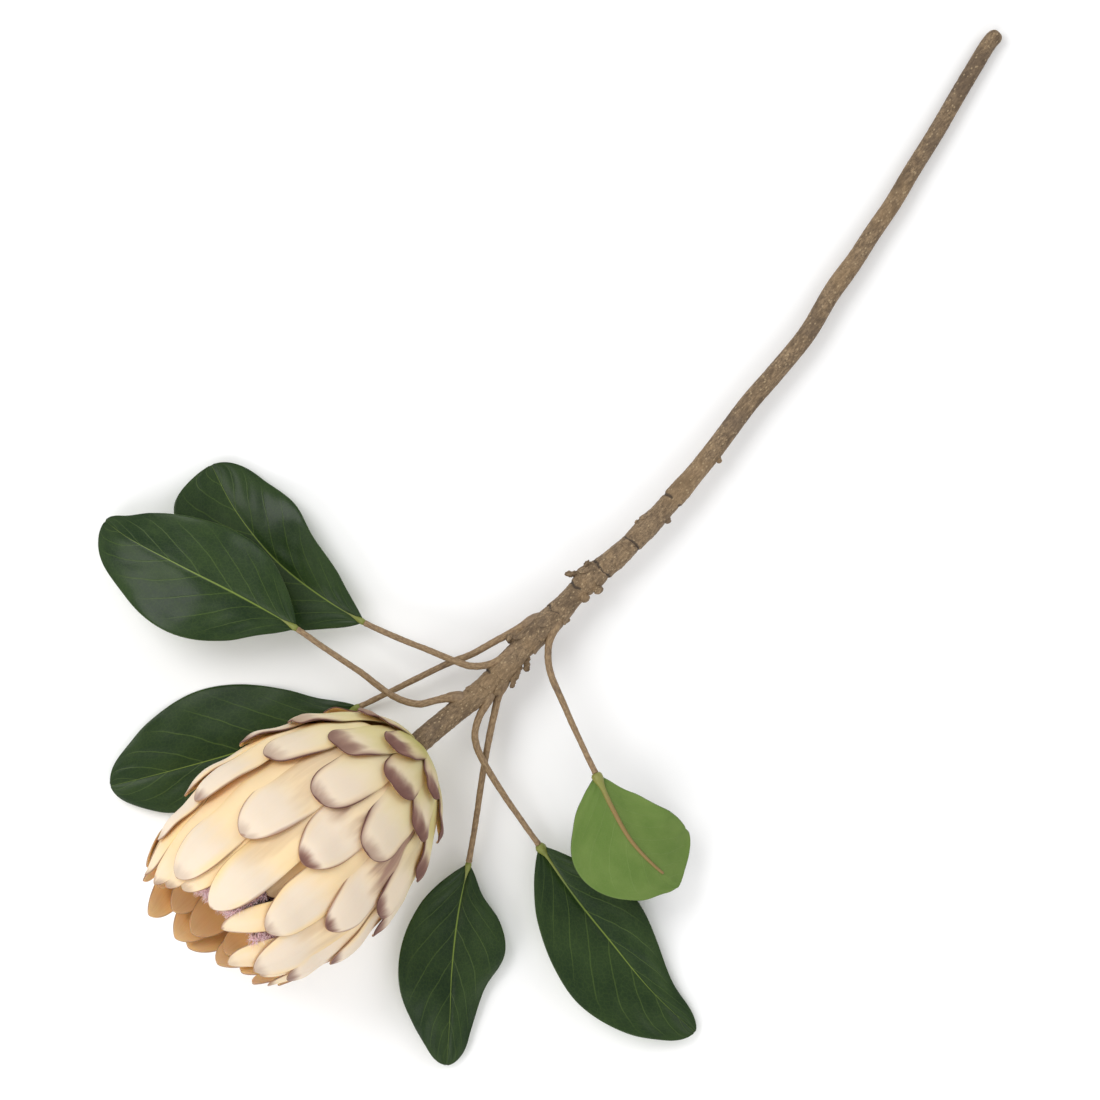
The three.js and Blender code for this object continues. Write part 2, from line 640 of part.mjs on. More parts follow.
const flower = new THREE.Group();
flower.add(meshFrom("bracts", bractsSolid(), COLOURS.bracts));
flower.add(meshFrom("florets", floretsSolid(), COLOURS.florets));
flower.add(meshFrom("stem", stemSolid(), COLOURS.stem));
LEAVES.forEach((leaf, i) => {
  const { stalk, blade } = leafSolids(leaf);
  flower.add(meshFrom(`leafstalk_${i + 1}`, stalk, COLOURS.stalk));
  flower.add(meshFrom(`leaf_${i + 1}`, blade, COLOURS.leaf));
});

export default flower;
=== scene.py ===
# %% [markdown]
# # A king protea, cut and laid on a table
#
# The flower head is a goblet of stiff, overlapping bracts round a woolly bundle of florets.
# It grows on a brown woody stem, and six leathery leaves hang on thin stalks.
# Everything here is in metres, in the frame of the solid model that is loaded first:
# the table is Z = 0, +Y runs along the stem to its cut end, and the mouth looks along -Y.
# The plant's own measures are written in millimetres, as a grower would read them off, and
# become metres where a mesh gets its points.

import math

import bpy
import numpy as np
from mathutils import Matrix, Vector, noise


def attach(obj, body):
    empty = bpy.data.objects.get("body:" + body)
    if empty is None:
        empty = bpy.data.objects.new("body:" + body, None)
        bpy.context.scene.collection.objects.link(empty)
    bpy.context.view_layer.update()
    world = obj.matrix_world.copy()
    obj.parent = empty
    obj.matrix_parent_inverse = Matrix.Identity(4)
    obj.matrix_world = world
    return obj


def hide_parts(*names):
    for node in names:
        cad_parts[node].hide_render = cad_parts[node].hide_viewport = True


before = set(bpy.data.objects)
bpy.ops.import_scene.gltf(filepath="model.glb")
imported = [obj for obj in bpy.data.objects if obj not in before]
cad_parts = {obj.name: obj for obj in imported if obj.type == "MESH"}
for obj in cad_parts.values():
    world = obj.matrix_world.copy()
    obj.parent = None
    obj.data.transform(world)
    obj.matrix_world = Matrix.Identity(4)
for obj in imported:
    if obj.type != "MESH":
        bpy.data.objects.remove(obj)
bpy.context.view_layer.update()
MM = 0.001
CENTRE = np.array([0.0, -3.8, 0.0])  # the solid model's own move onto its origin, in mm

# %% [markdown]
# ## The camera
#
# The flower is seen from straight above, a good two metres up, with the stem running to the
# upper right of the picture. The long lens keeps the head and the stem's end at nearly one scale.

# %% Look straight down
CAMERA_PLACE = (-0.0200, -0.0438, 2.200)
HALF_PICTURE = 0.14447  # half the picture's width for each metre of distance
PICTURE_TURN = math.radians(41)


def add_object(name, data):
    made = bpy.data.objects.new(name, data)
    bpy.context.scene.collection.objects.link(made)
    return made


camera_data = bpy.data.cameras.new("picture")
camera_data.sensor_width = 36
camera_data.lens = camera_data.sensor_width / 2 / HALF_PICTURE
camera_data.clip_end = 20
camera = add_object("picture", camera_data)
camera.location = CAMERA_PLACE
camera.rotation_euler = (0, 0, PICTURE_TURN)
bpy.context.scene.camera = camera
print("lens:", round(camera_data.lens, 1), "mm")

# %% [markdown]
# ## The table and the light
#
# A plain pale table, a large soft lamp on the left and weaker ones on the other sides give the
# soft edges and short shadows of a packshot. A low lamp in front of the flower looks into its
# mouth, which would be dark otherwise.

# %% Lay the table and hang the lamps
TABLE_WIDTH = 12
TABLE_BELOW = 0.0004  # keeps the table's face clear of the pressed bracts
TABLE_WHITE = (0.93, 0.93, 0.93, 1)
ROOM_LIGHT = 0.62
LAMPS_AIM_AT = Vector((0, -0.1, 0))
LAMPS = [  # name, place and width in metres, power in watts
    ("window_light", (-1.25, -0.15, 1.5), 1.2, 16),
    ("fill_light", (1.4, -1.0, 1.3), 1.6, 11),
    ("mouth_light", (-0.25, -1.35, 0.8), 0.9, 6.5),
    ("back_light", (0.4, 1.7, 1.3), 1.4, 9),
]

bpy.ops.object.select_all(action="DESELECT")
bpy.ops.mesh.primitive_plane_add(size=TABLE_WIDTH, location=(0, 0, -TABLE_BELOW))
table = bpy.context.object
table.name = "table"
table_white = bpy.data.materials.new("table_white")
table_white.use_nodes = True
table_shader = table_white.node_tree.nodes["Principled BSDF"]
table_shader.inputs["Base Color"].default_value = TABLE_WHITE
table_shader.inputs["Roughness"].default_value = 0.6
table.data.materials.append(table_white)

for name, place, width, power in LAMPS:
    lamp_data = bpy.data.lights.new(name, "AREA")
    lamp_data.shape = "DISK"
    lamp_data.size = width
    lamp_data.energy = power
    lamp = add_object(name, lamp_data)
    lamp.location = place
    lamp.rotation_euler = (LAMPS_AIM_AT - lamp.location).to_track_quat("-Z", "Y").to_euler()

world = bpy.data.worlds.new("pale_room")
bpy.context.scene.world = world
world.use_nodes = True
room = world.node_tree.nodes["Background"]
room.inputs["Color"].default_value = (1, 1, 1, 1)
room.inputs["Strength"].default_value = ROOM_LIGHT
bpy.context.scene.view_settings.view_transform = "Standard"
print("lamps:", len(LAMPS), "in a pale room")

# %% [markdown]
# ## Lines that the plant grows along
#
# Stem, stalks and midribs are smooth lines through a few points. A curve object would be quick,
# but everything that is built round a line asks for its place and its sides at any distance, so
# the line is worked out here. Growth is never even, so two helpers give soft steps and humps, and
# two more give noise and draws that are the same on every run.

# %% Measure along a smooth line
STEPS_PER_SPAN = 28  # between two of the points that a line is given


def join_smoothly(t, before, after, leaving, arriving):
    """From one value to the next as t goes from 0 to 1, with the slopes given at both."""
    return ((2 * t**3 - 3 * t**2 + 1) * before + (t**3 - 2 * t**2 + t) * leaving
            + (3 * t**2 - 2 * t**3) * after + (t**3 - t**2) * arriving)


class GrowthLine:
    """A smooth line through points in mm, read by the distance along it."""

    def __init__(self, points):
        p = [np.array(q, float) for q in points]
        p = [2 * p[0] - p[1], *p, 2 * p[-1] - p[-2]]
        path = [p[1]]
        for a, b, c, d in zip(p, p[1:], p[2:], p[3:]):
            ta, tb, tc = (max(np.linalg.norm(s), 1e-4) ** 0.5 for s in (b - a, c - b, d - c))
            leaving = ((b - a) / ta - (c - a) / (ta + tb) + (c - b) / tb) * tb
            arriving = ((c - b) / tb - (d - b) / (tb + tc) + (d - c) / tc) * tb
            for t in np.linspace(0, 1, STEPS_PER_SPAN + 1)[1:]:
                path.append(join_smoothly(t, b, c, leaving, arriving))
        self.path = np.array(path)
        steps = np.linalg.norm(np.diff(self.path, axis=0), axis=1)
        self.runs = np.concatenate([[0], np.cumsum(steps)])
        self.length = self.runs[-1]

    def at(self, distance):
        axes = [np.interp(distance, self.runs, self.path[:, k]) for k in range(3)]
        return np.stack(axes, axis=-1)

    def sides(self, distance):
        """The line's direction, its right-hand side and its upper side."""
        along = self.at(distance + 1.5) - self.at(distance - 1.5)
        along /= np.linalg.norm(along, axis=-1, keepdims=True)
        right = np.cross(along, [0.0, 0.0, 1.0])
        right /= np.linalg.norm(right, axis=-1, keepdims=True)
        return along, right, np.cross(right, along)

    def nearest(self, point):
        return self.runs[np.argmin(np.linalg.norm(self.path - np.array(point), axis=1))]


def smooth(x):
    t = np.clip(x, 0, 1)
    return t * t * (3 - 2 * t)


def bump(x):
    return np.exp(-np.square(x))


def rough(*place):
    """Noise between -1 and 1, which changes smoothly from place to place."""
    return noise.noise(Vector(place))


def rough_over(first, second, fineness, seed):
    """The same, at each pair of two lists of distances."""
    return np.array([rough(a * fineness[0], b * fineness[1], seed) for a, b in zip(first, second)])


class Draw:
    """Seeded draws between -1 and 1."""

    def __init__(self, seed):
        self.state = seed

    def __call__(self):
        self.state = (self.state * 16807) % 2147483647
        return 2 * self.state / 2147483647 - 1


print("a bow over 100 mm:", round(GrowthLine([(0, 0, 0), (50, 20, 0), (100, 0, 0)]).length), "mm")

# %% [markdown]
# ## Sheets that are laid over a shape
#
# A bract, a blade and a bark skin all start as one flat grid, as leather or felt is cut before it
# is formed. The grid keeps its own flat map, across and along the piece, which the finishes
# follow. A rule then says where each grid point goes on the plant, and modifiers give the sheet
# its thickness and roundness. Sculpting each of seventy bracts by hand would look no better.

# %% Lay grids out and join them into pieces
MAP_EDGE = 0.002  # keeps a map's corners inside their own piece's number
WELD = 0.000002


def lay_grid(size, place, seed=0, marks=None):
    """A grid with u and v from 0 to 1, carried to the points that place(u, v) gives, in mm.
    marks(u, v) may give named distances in mm, which the finishes read."""
    bpy.ops.object.select_all(action="DESELECT")
    bpy.ops.mesh.primitive_grid_add(x_subdivisions=size[0], y_subdivisions=size[1], size=2)
    sheet = bpy.context.object
    flat = np.empty(len(sheet.data.vertices) * 3)
    sheet.data.vertices.foreach_get("co", flat)
    u, v = flat.reshape(-1, 3)[:, :2].T / 2 + 0.5
    sheet.data.vertices.foreach_set("co", ((place(u, v) + CENTRE) * MM).ravel())
    for name, distances in (marks(u, v) if marks else {}).items():
        sheet.data.attributes.new(name, "FLOAT", "POINT").data.foreach_set("value", distances)
    layer = sheet.data.uv_layers[0]
    corners = np.empty(len(layer.data) * 2)
    layer.data.foreach_get("uv", corners)
    corners = corners.reshape(-1, 2)
    corners[:, 0] = np.clip(corners[:, 0], MAP_EDGE, 1 - MAP_EDGE) + seed
    layer.data.foreach_set("uv", corners.ravel())
    layer.name = "piece_map"
    return sheet


def join_as(name, pieces):
    bpy.ops.object.select_all(action="DESELECT")
    for piece in pieces:
        piece.select_set(True)
    bpy.context.view_layer.objects.active = pieces[0]
    bpy.ops.object.join()
    whole = bpy.context.object
    whole.name = name
    whole.data.name = name
    return whole


def finish_with(piece, kind, **settings):
    """Add one modifier and apply it."""
    bpy.ops.object.select_all(action="DESELECT")
    bpy.context.view_layer.objects.active = piece
    piece.select_set(True)
    modifier = piece.modifiers.new(kind.lower(), kind)
    for key, value in settings.items():
        setattr(modifier, key, value)
    bpy.ops.object.modifier_apply(modifier=modifier.name)


def thicken(piece, thickness, **settings):
    """Give a sheet its thickness in mm, and round it."""
    finish_with(piece, "SOLIDIFY", thickness=thickness * MM, **settings)
    finish_with(piece, "SUBSURF", levels=1, render_levels=1)
    bpy.ops.object.shade_smooth()


def thicken_leathery(piece, thickness, outer, inner):
    """The same for a bract or blade, whose two faces have finishes of their own."""
    dress(piece, outer, inner)
    thicken(piece, thickness, offset=-1, material_offset=1, use_even_offset=False,
            use_quality_normals=True)


def close_tube():
    """Weld the seam of the rolled grid that is active, draw its ends shut, face it outwards."""
    bpy.ops.object.mode_set(mode="EDIT")
    bpy.ops.mesh.select_all(action="SELECT")
    bpy.ops.mesh.remove_doubles(threshold=WELD)
    bpy.ops.mesh.select_all(action="DESELECT")
    bpy.ops.mesh.select_non_manifold()
    bpy.ops.mesh.edge_face_add()
    bpy.ops.mesh.select_all(action="SELECT")
    bpy.ops.mesh.normals_make_consistent(inside=False)
    bpy.ops.object.mode_set(mode="OBJECT")
    bpy.ops.object.shade_smooth()


def dress(piece, *finishes):
    piece.data.materials.clear()
    for finish in finishes:
        piece.data.materials.append(finish)


def put_in_place(piece, slot, *nodes):
    """Tie a finished piece to the solid model's root body, and hide the solid parts that it stands
    for. The slot is not used.
    """
    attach(piece, "root")
    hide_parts(*nodes)
    piece.data.calc_loop_triangles()
    print(piece.name, len(piece.data.loop_triangles), "triangles")


print("ready to lay sheets round", len(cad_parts), "solids")

# %% [markdown]
# ## Finishes
#
# A plant's colours change along and across each piece, so most finishes read the piece's flat
# map: u says how far across a point lies, and v how far from the root. The whole part of u
# differs from piece to piece, which lets each bract or leaf have its own shade. A finish is built
# like paintwork: a ground colour first, then each stain or vein is brushed over it by a mask.

# %% Build node trees briefly


class Finish:
    """A material, or the inside of a node group, with short ways to add and link nodes."""

    def __init__(self, name, group=False):
        if group:
            self.tree = bpy.data.node_groups.new(name, "ShaderNodeTree")
        else:
            self.material = bpy.data.materials.new(name)
            self.material.use_nodes = True
            self.tree = self.material.node_tree
            self.shader = self.tree.nodes["Principled BSDF"]

    def feed(self, socket, value):
        if isinstance(value, bpy.types.NodeSocket):
            self.tree.links.new(value, socket)
        elif value is not None:
            socket.default_value = value

    def node(self, kind, settings=None, **inputs):
        made = self.tree.nodes.new("ShaderNode" + kind)
        for key, value in (settings or {}).items():
            setattr(made, key, value)
        for key, value in inputs.items():
            self.feed(made.inputs[key.replace("_", " ")], value)
        return made

    def group(self, tree, **inputs):
        return self.node("Group", {"node_tree": tree}, **inputs).outputs

    def mark(self, name):
        """A distance that was noted on the mesh."""
        return self.node("Attribute", {"attribute_name": name}).outputs["Fac"]

    def math(self, operation, a, b=None, c=None, clamp=False):
        made = self.node("Math", {"operation": operation, "use_clamp": clamp})
        for socket, value in zip(made.inputs, (a, b, c)):
            self.feed(socket, value)
        return made.outputs[0]

    def times(self, a, b):
        return self.math("MULTIPLY", a, b)

    def plus(self, a, b):
        return self.math("ADD", a, b)

    def ramp(self, value, low, high, to_low=0.0, to_high=1.0):
        return self.node("MapRange", {"interpolation_type": "SMOOTHSTEP"}, Value=value,
                         From_Min=low, From_Max=high, To_Min=to_low,
                         To_Max=to_high).outputs["Result"]

    def blend(self, share, a, b):
        made = self.node("Mix", {"data_type": "RGBA", "clamp_factor": True})
        for key, value in ((0, share), (6, a), (7, b)):
            self.feed(made.inputs[key], (*value, 1) if isinstance(value, tuple) else value)
        return made.outputs[2]

    def ground(self, share, a, b):
        """Set the colour: the first where the share is 0, the second where it is 1."""
        self.colour = self.blend(share, a, b)

    def brush(self, mask, share, paint):
        """Brush a share of a paint over the colour so far, where the mask is 1."""
        self.colour = self.blend(self.times(mask, share), self.colour, paint)

    def grain(self, vector, scale, detail, roughness, distortion=0.0):
        """Noise, with one scale for all directions or one for each."""
        if isinstance(scale, tuple):
            vector, scale = self.stretch(vector, *scale), 1.0
        return self.node("TexNoise", None, Vector=vector, Scale=scale, Detail=detail,
                         Roughness=roughness, Distortion=distortion).outputs["Fac"]

    def stretch(self, vector, x, y, z=1.0):
        return self.node("Mapping", None, Vector=vector, Scale=(x, y, z)).outputs["Vector"]

    def raised(self, height, strength, distance):
        return self.node("Bump", None, Height=height, Strength=strength,
                         Distance=distance).outputs["Normal"]

    def wear(self, roughness, normal=None, **settings):
        """Give the shader the colour, roughness and relief, and plain numbers for the rest."""
        inputs = dict(Base_Color=self.colour, Roughness=roughness, Normal=normal, **settings)
        for key, value in inputs.items():
            self.feed(self.shader.inputs[key.replace("_", " ")], value)
        return self.material


print("ways to build a finish:", [way for way in vars(Finish) if not way.startswith("_")])

# %% Make the two effects that several finishes share


def group_with(name, takes, gives):
    group = Finish(name, group=True)
    for socket, kind in takes.items():
        group.tree.interface.new_socket(socket, in_out="INPUT", socket_type="NodeSocket" + kind)
    for socket in gives:
        group.tree.interface.new_socket(socket, in_out="OUTPUT", socket_type="NodeSocketFloat")
    group.takes = group.tree.nodes.new("NodeGroupInput").outputs
    group.gives = group.tree.nodes.new("NodeGroupOutput").inputs
    return group


def make_place_group():
    """Reads the flat map: 0 at the middle to 1 at the edge, root to tip, and a draw per piece."""
    group = group_with("place_on_piece", {"Map": "Vector"}, ["Across", "Along", "Draw"])
    split = group.node("SeparateXYZ", None, Vector=group.takes["Map"]).outputs
    part = group.math("FRACT", split["X"])
    whole = group.math("FLOOR", split["X"])
    drawn = group.node("TexWhiteNoise", {"noise_dimensions": "1D"}, W=whole)
    group.feed(group.gives["Across"],
               group.math("ABSOLUTE", group.math("MULTIPLY_ADD", part, 2.0, -1.0)))
    group.feed(group.gives["Along"], split["Y"])
    group.feed(group.gives["Draw"], drawn.outputs["Value"])
    return group.tree


def make_veins_group():
    """Pale veins: a midrib that thins to the tip, and side veins that sweep forward from it."""
    takes = dict.fromkeys(["Across", "Along", "Pairs", "Sweep", "Waver"], "Float")
    group = group_with("leaf_veins", takes, ["Midrib", "Side Veins"])
    read = group.takes
    width = group.ramp(read["Along"], 0.0, 0.9, 0.032, 0.006)
    midrib = group.math("SUBTRACT", 1.0, group.math("DIVIDE", read["Across"], width), clamp=True)
    swept = group.math("SUBTRACT", read["Along"], group.times(read["Across"], read["Sweep"]))
    swept = group.plus(swept, group.times(read["Waver"], 0.05))
    beat = group.math("PINGPONG", group.times(swept, read["Pairs"]), 0.5)
    line = group.ramp(beat, 0.0, 0.05, 1.0, 0.0)
    fade = group.ramp(read["Across"], 0.55, 0.95, 1.0, 0.0)
    group.feed(group.gives["Midrib"], midrib)
    group.feed(group.gives["Side Veins"], group.times(line, fade))
    return group.tree


place_group = make_place_group()
veins_group = make_veins_group()


def placed(finish):
    """The flat map and its readings Across, Along and Draw, inside one material."""
    flat = finish.node("UVMap", {"uv_map": "piece_map"}).outputs["UV"]
    return flat, finish.group(place_group, Map=flat)


print("shared effects:", place_group.name, veins_group.name)

# %% [markdown]
# ## The flower head's shape
#
# The whorls of bracts lie on a goblet: full and round at the stem, widest a little past its
# middle, and drawn in at the mouth. Each whorl is a layer under the one outside it, and comes up
# to the surface past that whorl's tips. The table presses the underside flat. A place on the head
# is given by its station, in mm along the axis from the stem, and its turn from the head's top.

# %% Describe the goblet
HEAD_BASE = np.array([-4.8, -174.5, 33.8])
HEAD_YAW = math.radians(9)
HEAD_TILT = math.radians(22)
HEAD_RADIUS = 65.5
WIDEST_AT = 100
DRAWN_IN_OVER = 145  # from the widest place to where the goblet would close
BACK_FULLNESS = 2.2
FRONT_FULLNESS = 1.7
GOBLET_REACH = 200
GOBLET_POINTS = 601
MOUTH_SLANT = 0.02
LAYER = 2.5  # from one whorl down to the next
COVERED_PAST_TIP = 4
RISE = 18  # length over which a covered whorl comes up to the surface
BRACT_THICKNESS = 0.9
PRESSED_LAYER = 0.85  # share of their depth that layers keep where the table presses them

head_axis = np.array([-math.sin(HEAD_YAW) * math.cos(HEAD_TILT),
                      -math.cos(HEAD_YAW) * math.cos(HEAD_TILT), math.sin(HEAD_TILT)])
head_right = np.array([math.cos(HEAD_YAW), -math.sin(HEAD_YAW), 0.0])
head_top = np.cross(head_axis, head_right)


def head_point(station, radius, turn):
    station, radius, turn = np.broadcast_arrays(station, radius, turn)
    return (HEAD_BASE + station[..., None] * head_axis
            + (radius * np.cos(turn))[..., None] * head_top
            + (radius * np.sin(turn))[..., None] * head_right)


def head_radius(station):
    back = np.clip((WIDEST_AT - station) / WIDEST_AT, 0, 1)
    front = np.clip((station - WIDEST_AT) / DRAWN_IN_OVER, 0, 1)
    behind = (1 - back**BACK_FULLNESS) ** (1 / BACK_FULLNESS)
    return HEAD_RADIUS * np.where(station < WIDEST_AT, behind, 1 - front**FRONT_FULLNESS)


# the goblet's outline as a line: station, radius and slope at points that crowd at the stem,
# where it curves most; the last point's slope is written out
goblet_station = GOBLET_REACH * np.linspace(0, 1, GOBLET_POINTS) ** 2
goblet_radius = head_radius(goblet_station)
goblet_steps = np.hypot(np.diff(goblet_station), np.diff(goblet_radius))
goblet_length = np.concatenate([[0], np.cumsum(goblet_steps)])
goblet_slope_s = np.append(-np.diff(goblet_radius) / goblet_steps, 0.4)
goblet_slope_r = np.append(np.diff(goblet_station) / goblet_steps, 0.9)


def on_goblet(length, *tables):
    return [np.interp(length, goblet_length, table) for table in tables]


print("mouth at", np.round(head_point(165, 0, 0), 1), "mm")

# %% [markdown]
# ### Where the bracts stand
#
# The photograph shows the head's upper half, so each bract that is seen there is placed one by one
# as it stands: its tip and its slant make the likeness. The hidden ones beneath are spread evenly
# and drawn at random. A whorl says where its bracts are rooted and where they usually end along
# the head, how wide they are, what share of that they keep at the root (foot), how far their tips
# stand off (lift), how blunt these are and over what length they narrow. A seen bract has the turn
# of its tip, how far its root swings from that, both in degrees, its tip's station, the share of
# painted shade at its root, where it comes out from under its neighbours, how much it is spotted
# at the tip, and its share of the whorl's width.

# %% List the whorls
WHORLS = [
    dict(name="short", root=0.3, tip=24, width=23, foot=0.95, lift=1.9, blunt=2.8, narrows=13,
         beneath=4,
         seen=[(-54, 14, 20, 0, 0.7, 0.95), (-11, 14, 27, 0, 1, 1), (33, -4, 25, 0, 1, 0.85),
               (76, 0, 31, 0, 1, 0.9)]),
    dict(name="low", root=2.5, tip=49, width=28, foot=0.85, lift=1.7, blunt=3.2, narrows=14,
         beneath=4,
         seen=[(-69, 0, 54, 0, 0.4, 0.95), (-30, 12, 52, 0, 0.8, 0.95), (9, 4, 44, 0, 1, 1),
               (41, -12, 47, 0, 1, 0.88), (69, 0, 57, 0, 1, 0.9)]),
    dict(name="middle", root=11, tip=83, width=32, foot=0.5, lift=1.5, blunt=2.6, narrows=23,
         beneath=4,
         seen=[(-86, 0, 80, 0, 0.7, 1), (-49, 2, 84, 0, 0.4, 1), (-12, 4, 84, 0, 0.6, 0.96),
               (24, 0, 81, 0, 0.5, 0.95), (61, 0, 90, 0.3, 1, 1), (84, 0, 93, 0, 1, 1)]),
    dict(name="long", root=16, tip=123, width=33, foot=0.45, lift=1.2, blunt=2.0, narrows=29,
         beneath=5,
         seen=[(-92, 0, 122, 0, 0.3, 1), (-65, -3, 127, 0, 0.6, 1), (-24, 0, 128, 0.3, 0.3, 1),
               (7, 0, 114, 1, 1, 1), (44, -2, 122, 1, 1, 1), (79, 0, 124, 0.2, 1, 1)]),
    dict(name="rim", root=22, tip=160, width=31, foot=0.45, lift=1.0, blunt=2.0, narrows=30,
         beneath=5,
         seen=[(-80, 0, 153, 0, 0.2, 1), (-38, 0, 166, 0, 0.2, 1), (-7, 0, 165, 0.3, 0, 0.92),
               (25, 0, 150, 0.1, 0.4, 1), (48, 0, 165, 0.3, 0.3, 1), (71, 0, 150, 0, 0.8, 1)]),
    dict(name="inner", root=28, tip=168, width=27, foot=0.45, lift=0, blunt=2.0, narrows=28,
         beneath=5,
         seen=[(-79, 0, 172, 0, 0.4, 1), (-56, 0, 175, 0, 0.5, 1), (-44, 3, 173, 0, 0.5, 0.9),
               (-31, 13, 169, 0, 0.3, 0.95), (9, 66, 168, 0, 0.1, 0.66),
               (34, 58, 175, 0, 0.15, 0.72), (60, -6, 163, 0, 0.5, 1), (86, 0, 158, 0, 0.6, 1)]),
    dict(name="innermost", root=34, tip=160, width=26, foot=0.45, lift=-1.5, blunt=2.0, narrows=28,
         beneath=5,
         seen=[(-104, 0, 162, 0, 0.3, 1), (10, 0, 139, 0, 0.1, 0.9), (102, 0, 150, 0, 0.3, 1)]),
]
for whorl in WHORLS:
    whorl["count"] = len(whorl["seen"]) + whorl["beneath"]
print("bracts in each whorl:", [whorl["count"] for whorl in WHORLS])

# %% [markdown]
# ## The bracts
#
# A bract is a stiff strap, narrow at its root and broad at its rounded tip, which is hollowed
# like a spoon: the back is convex across, the edges tuck in, and the tip curls a little inwards.
# One grid is shaped per bract, because each has a length, width, lift and slant of its own, and
# copies of one bract would show. Distances from tip and edge are noted on it for the finish.

# %% Shape one bract on the goblet
BRACT_GRID = (12, 30)
SPOON = 0.0072  # hollow in mm for each square mm off the middle
TIP_CURL = 1.5
KEEL = 0.35
SHINGLE = 0.045  # one edge lies over the neighbour, the other under it
RIPPLE = 0.8
ROOT_DIVE = 5.5  # how far a root with no width would sink
ROW_CROWDING = 1.4  # rows crowd towards the tip, where the outline is round
OVERLAP = 1.15  # most that a bract may reach over half its whorl's pitch


def layers_above(number, station):
    return sum((1 - smooth((station - outer["tip"] - COVERED_PAST_TIP) / RISE)
                for outer in WHORLS[:number]), np.zeros_like(station))


def under_surface(length, depth, pressed_depth, turn, across):
    """Points at a depth under the goblet, kept above the table."""
    station, radius, slope_s, slope_r = on_goblet(
        length, goblet_station, goblet_radius, goblet_slope_s, goblet_slope_r)
    radius = np.maximum(radius - depth * slope_r, 0.5)
    points = head_point(station - depth * slope_s, radius, turn - across / np.maximum(radius, 8))
    points[:, 2] = np.maximum(points[:, 2], PRESSED_LAYER * np.maximum(pressed_depth, 0))
    return points


def strap_half_width(whorl, to_tip, share):
    """Share of the full width, to_tip mm from the tip, where share goes from root to tip."""
    strap = whorl["foot"] + (1 - whorl["foot"]) * smooth(share / 0.62)
    past = np.clip(1 - to_tip / whorl["narrows"], 0, 1)
    tip = np.maximum(1 - past ** whorl["blunt"], 0) ** (1.12 / whorl["blunt"])
    return strap * np.maximum(tip, 0.03)


def shape_bract(number, k, turn, swing, tip_at, lift_by, half_width, smudge, spot):
    whorl = WHORLS[k]
    start, end = np.interp([whorl["root"], tip_at], goblet_station, goblet_length)
    pitch = math.pi / whorl["count"]

    def outline(u, v):
        v = 1 - (1 - v) ** ROW_CROWDING
        length = start + (end - start) * v
        station, radius = on_goblet(length, goblet_station, goblet_radius)
        half = np.minimum(half_width, OVERLAP * pitch * radius)
        half = half * strap_half_width(whorl, end - length, v)
        return v, length, station, (2 * u - 1) * half, half

    def place(u, v):
        v, length, station, across, _ = outline(u, v)
        layers = layers_above(k, station) * LAYER
        spoon = SPOON * across**2 * (0.6 + 0.4 * smooth(v / 0.4))
        curl = TIP_CURL * smooth((v - 0.84) / 0.16) ** 2
        keel = -KEEL * bump(across / 2.2) * smooth((v - 0.35) / 0.5)
        ripple = RIPPLE * rough_over(across, length, (0.09, 0.035), number * 3.7)
        dive = ROOT_DIVE * (1 - whorl["foot"]) * (1 - smooth(v / 0.14))
        lift = lift_by * smooth((v - 0.72) / 0.22)
        depth = layers + dive + spoon + curl + keel + SHINGLE * across + ripple - lift
        pressed = np.maximum(layers - 0.6, 0)
        return under_surface(length, depth, pressed, turn + swing * (1 - v), across)

    def marks(u, v):
        v, length, _, across, half = outline(u, v)
        return {"from_tip": end - length,
                "from_edge": np.minimum(half - np.abs(across), end - length),
                "smudge": np.full_like(v, smudge), "spot": np.full_like(v, spot)}

    return lay_grid(BRACT_GRID, place, seed=number, marks=marks)


print("a bract starts as", BRACT_GRID[0] * BRACT_GRID[1], "faces")


# %% Draw every bract's own size and turn
SHORTER_RIGHT = 14  # on the right, the bracts round the mouth are shorter
draw = Draw(2718)
bract_plan = []
for k, whorl in enumerate(WHORLS):
    bracts = list(whorl["seen"])
    first, last = bracts[0][0] + 360, bracts[-1][0]
    for i in range(1, whorl["beneath"] + 1):
        turn = last + (first - last) * i / (whorl["beneath"] + 1)
        short = SHORTER_RIGHT * max(math.sin(math.radians(turn)), 0) if whorl["tip"] > 150 else 0
        tip = whorl["tip"] * (1 - MOUTH_SLANT * math.cos(math.radians(turn))) - short
        bracts.append((turn + 2 * draw(), 3 * draw(), tip + 4 * draw(),
                       0.5 + 0.5 * draw(), 0.5 + 0.5 * draw(), 1))
    for turn, swing, tip, smudge, spot, share in bracts:
        bract_plan.append((k, math.radians(turn), math.radians(swing), tip,
                           whorl["lift"] * (1 + 0.5 * draw()),
                           share * whorl["width"] / 2 * (1 + 0.04 * draw()), smudge, spot))
print("bracts:", len(bract_plan))

# %% [markdown]
# ### Bract finishes
#
# The backs are cream, with fine lengthwise streaks and a painted warm golden glow along their
# edges where they overlap, as of light coming through the thin bracts.
# Tips and edges are brushed with a brownish mauve, strongest on the short whorls at the stem,
# which are olive green at the root. The inner faces are a warm tan. The whorls share one finish
# with values of their own, so that the colour changes evenly from the stem to the mouth.

# %% Mix the finish of a whorl
MAUVE = (0.120, 0.050, 0.040)
SOFT_MAUVE = (0.31, 0.165, 0.122)
# painted shade, streaked mauve, where a bract comes out from under its neighbours
ROOT_SHADE_MAUVE = (0.25, 0.12, 0.10)
# painted golden glow along the edges, as of light coming through the overlapping bracts
GLOW_GOLD = (0.86, 0.60, 0.22)
CREAM = (0.755, 0.635, 0.495)
PALE = (0.82, 0.68, 0.56)
TAN = (0.45, 0.26, 0.13)
FIBRE = (0.50, 0.33, 0.22)
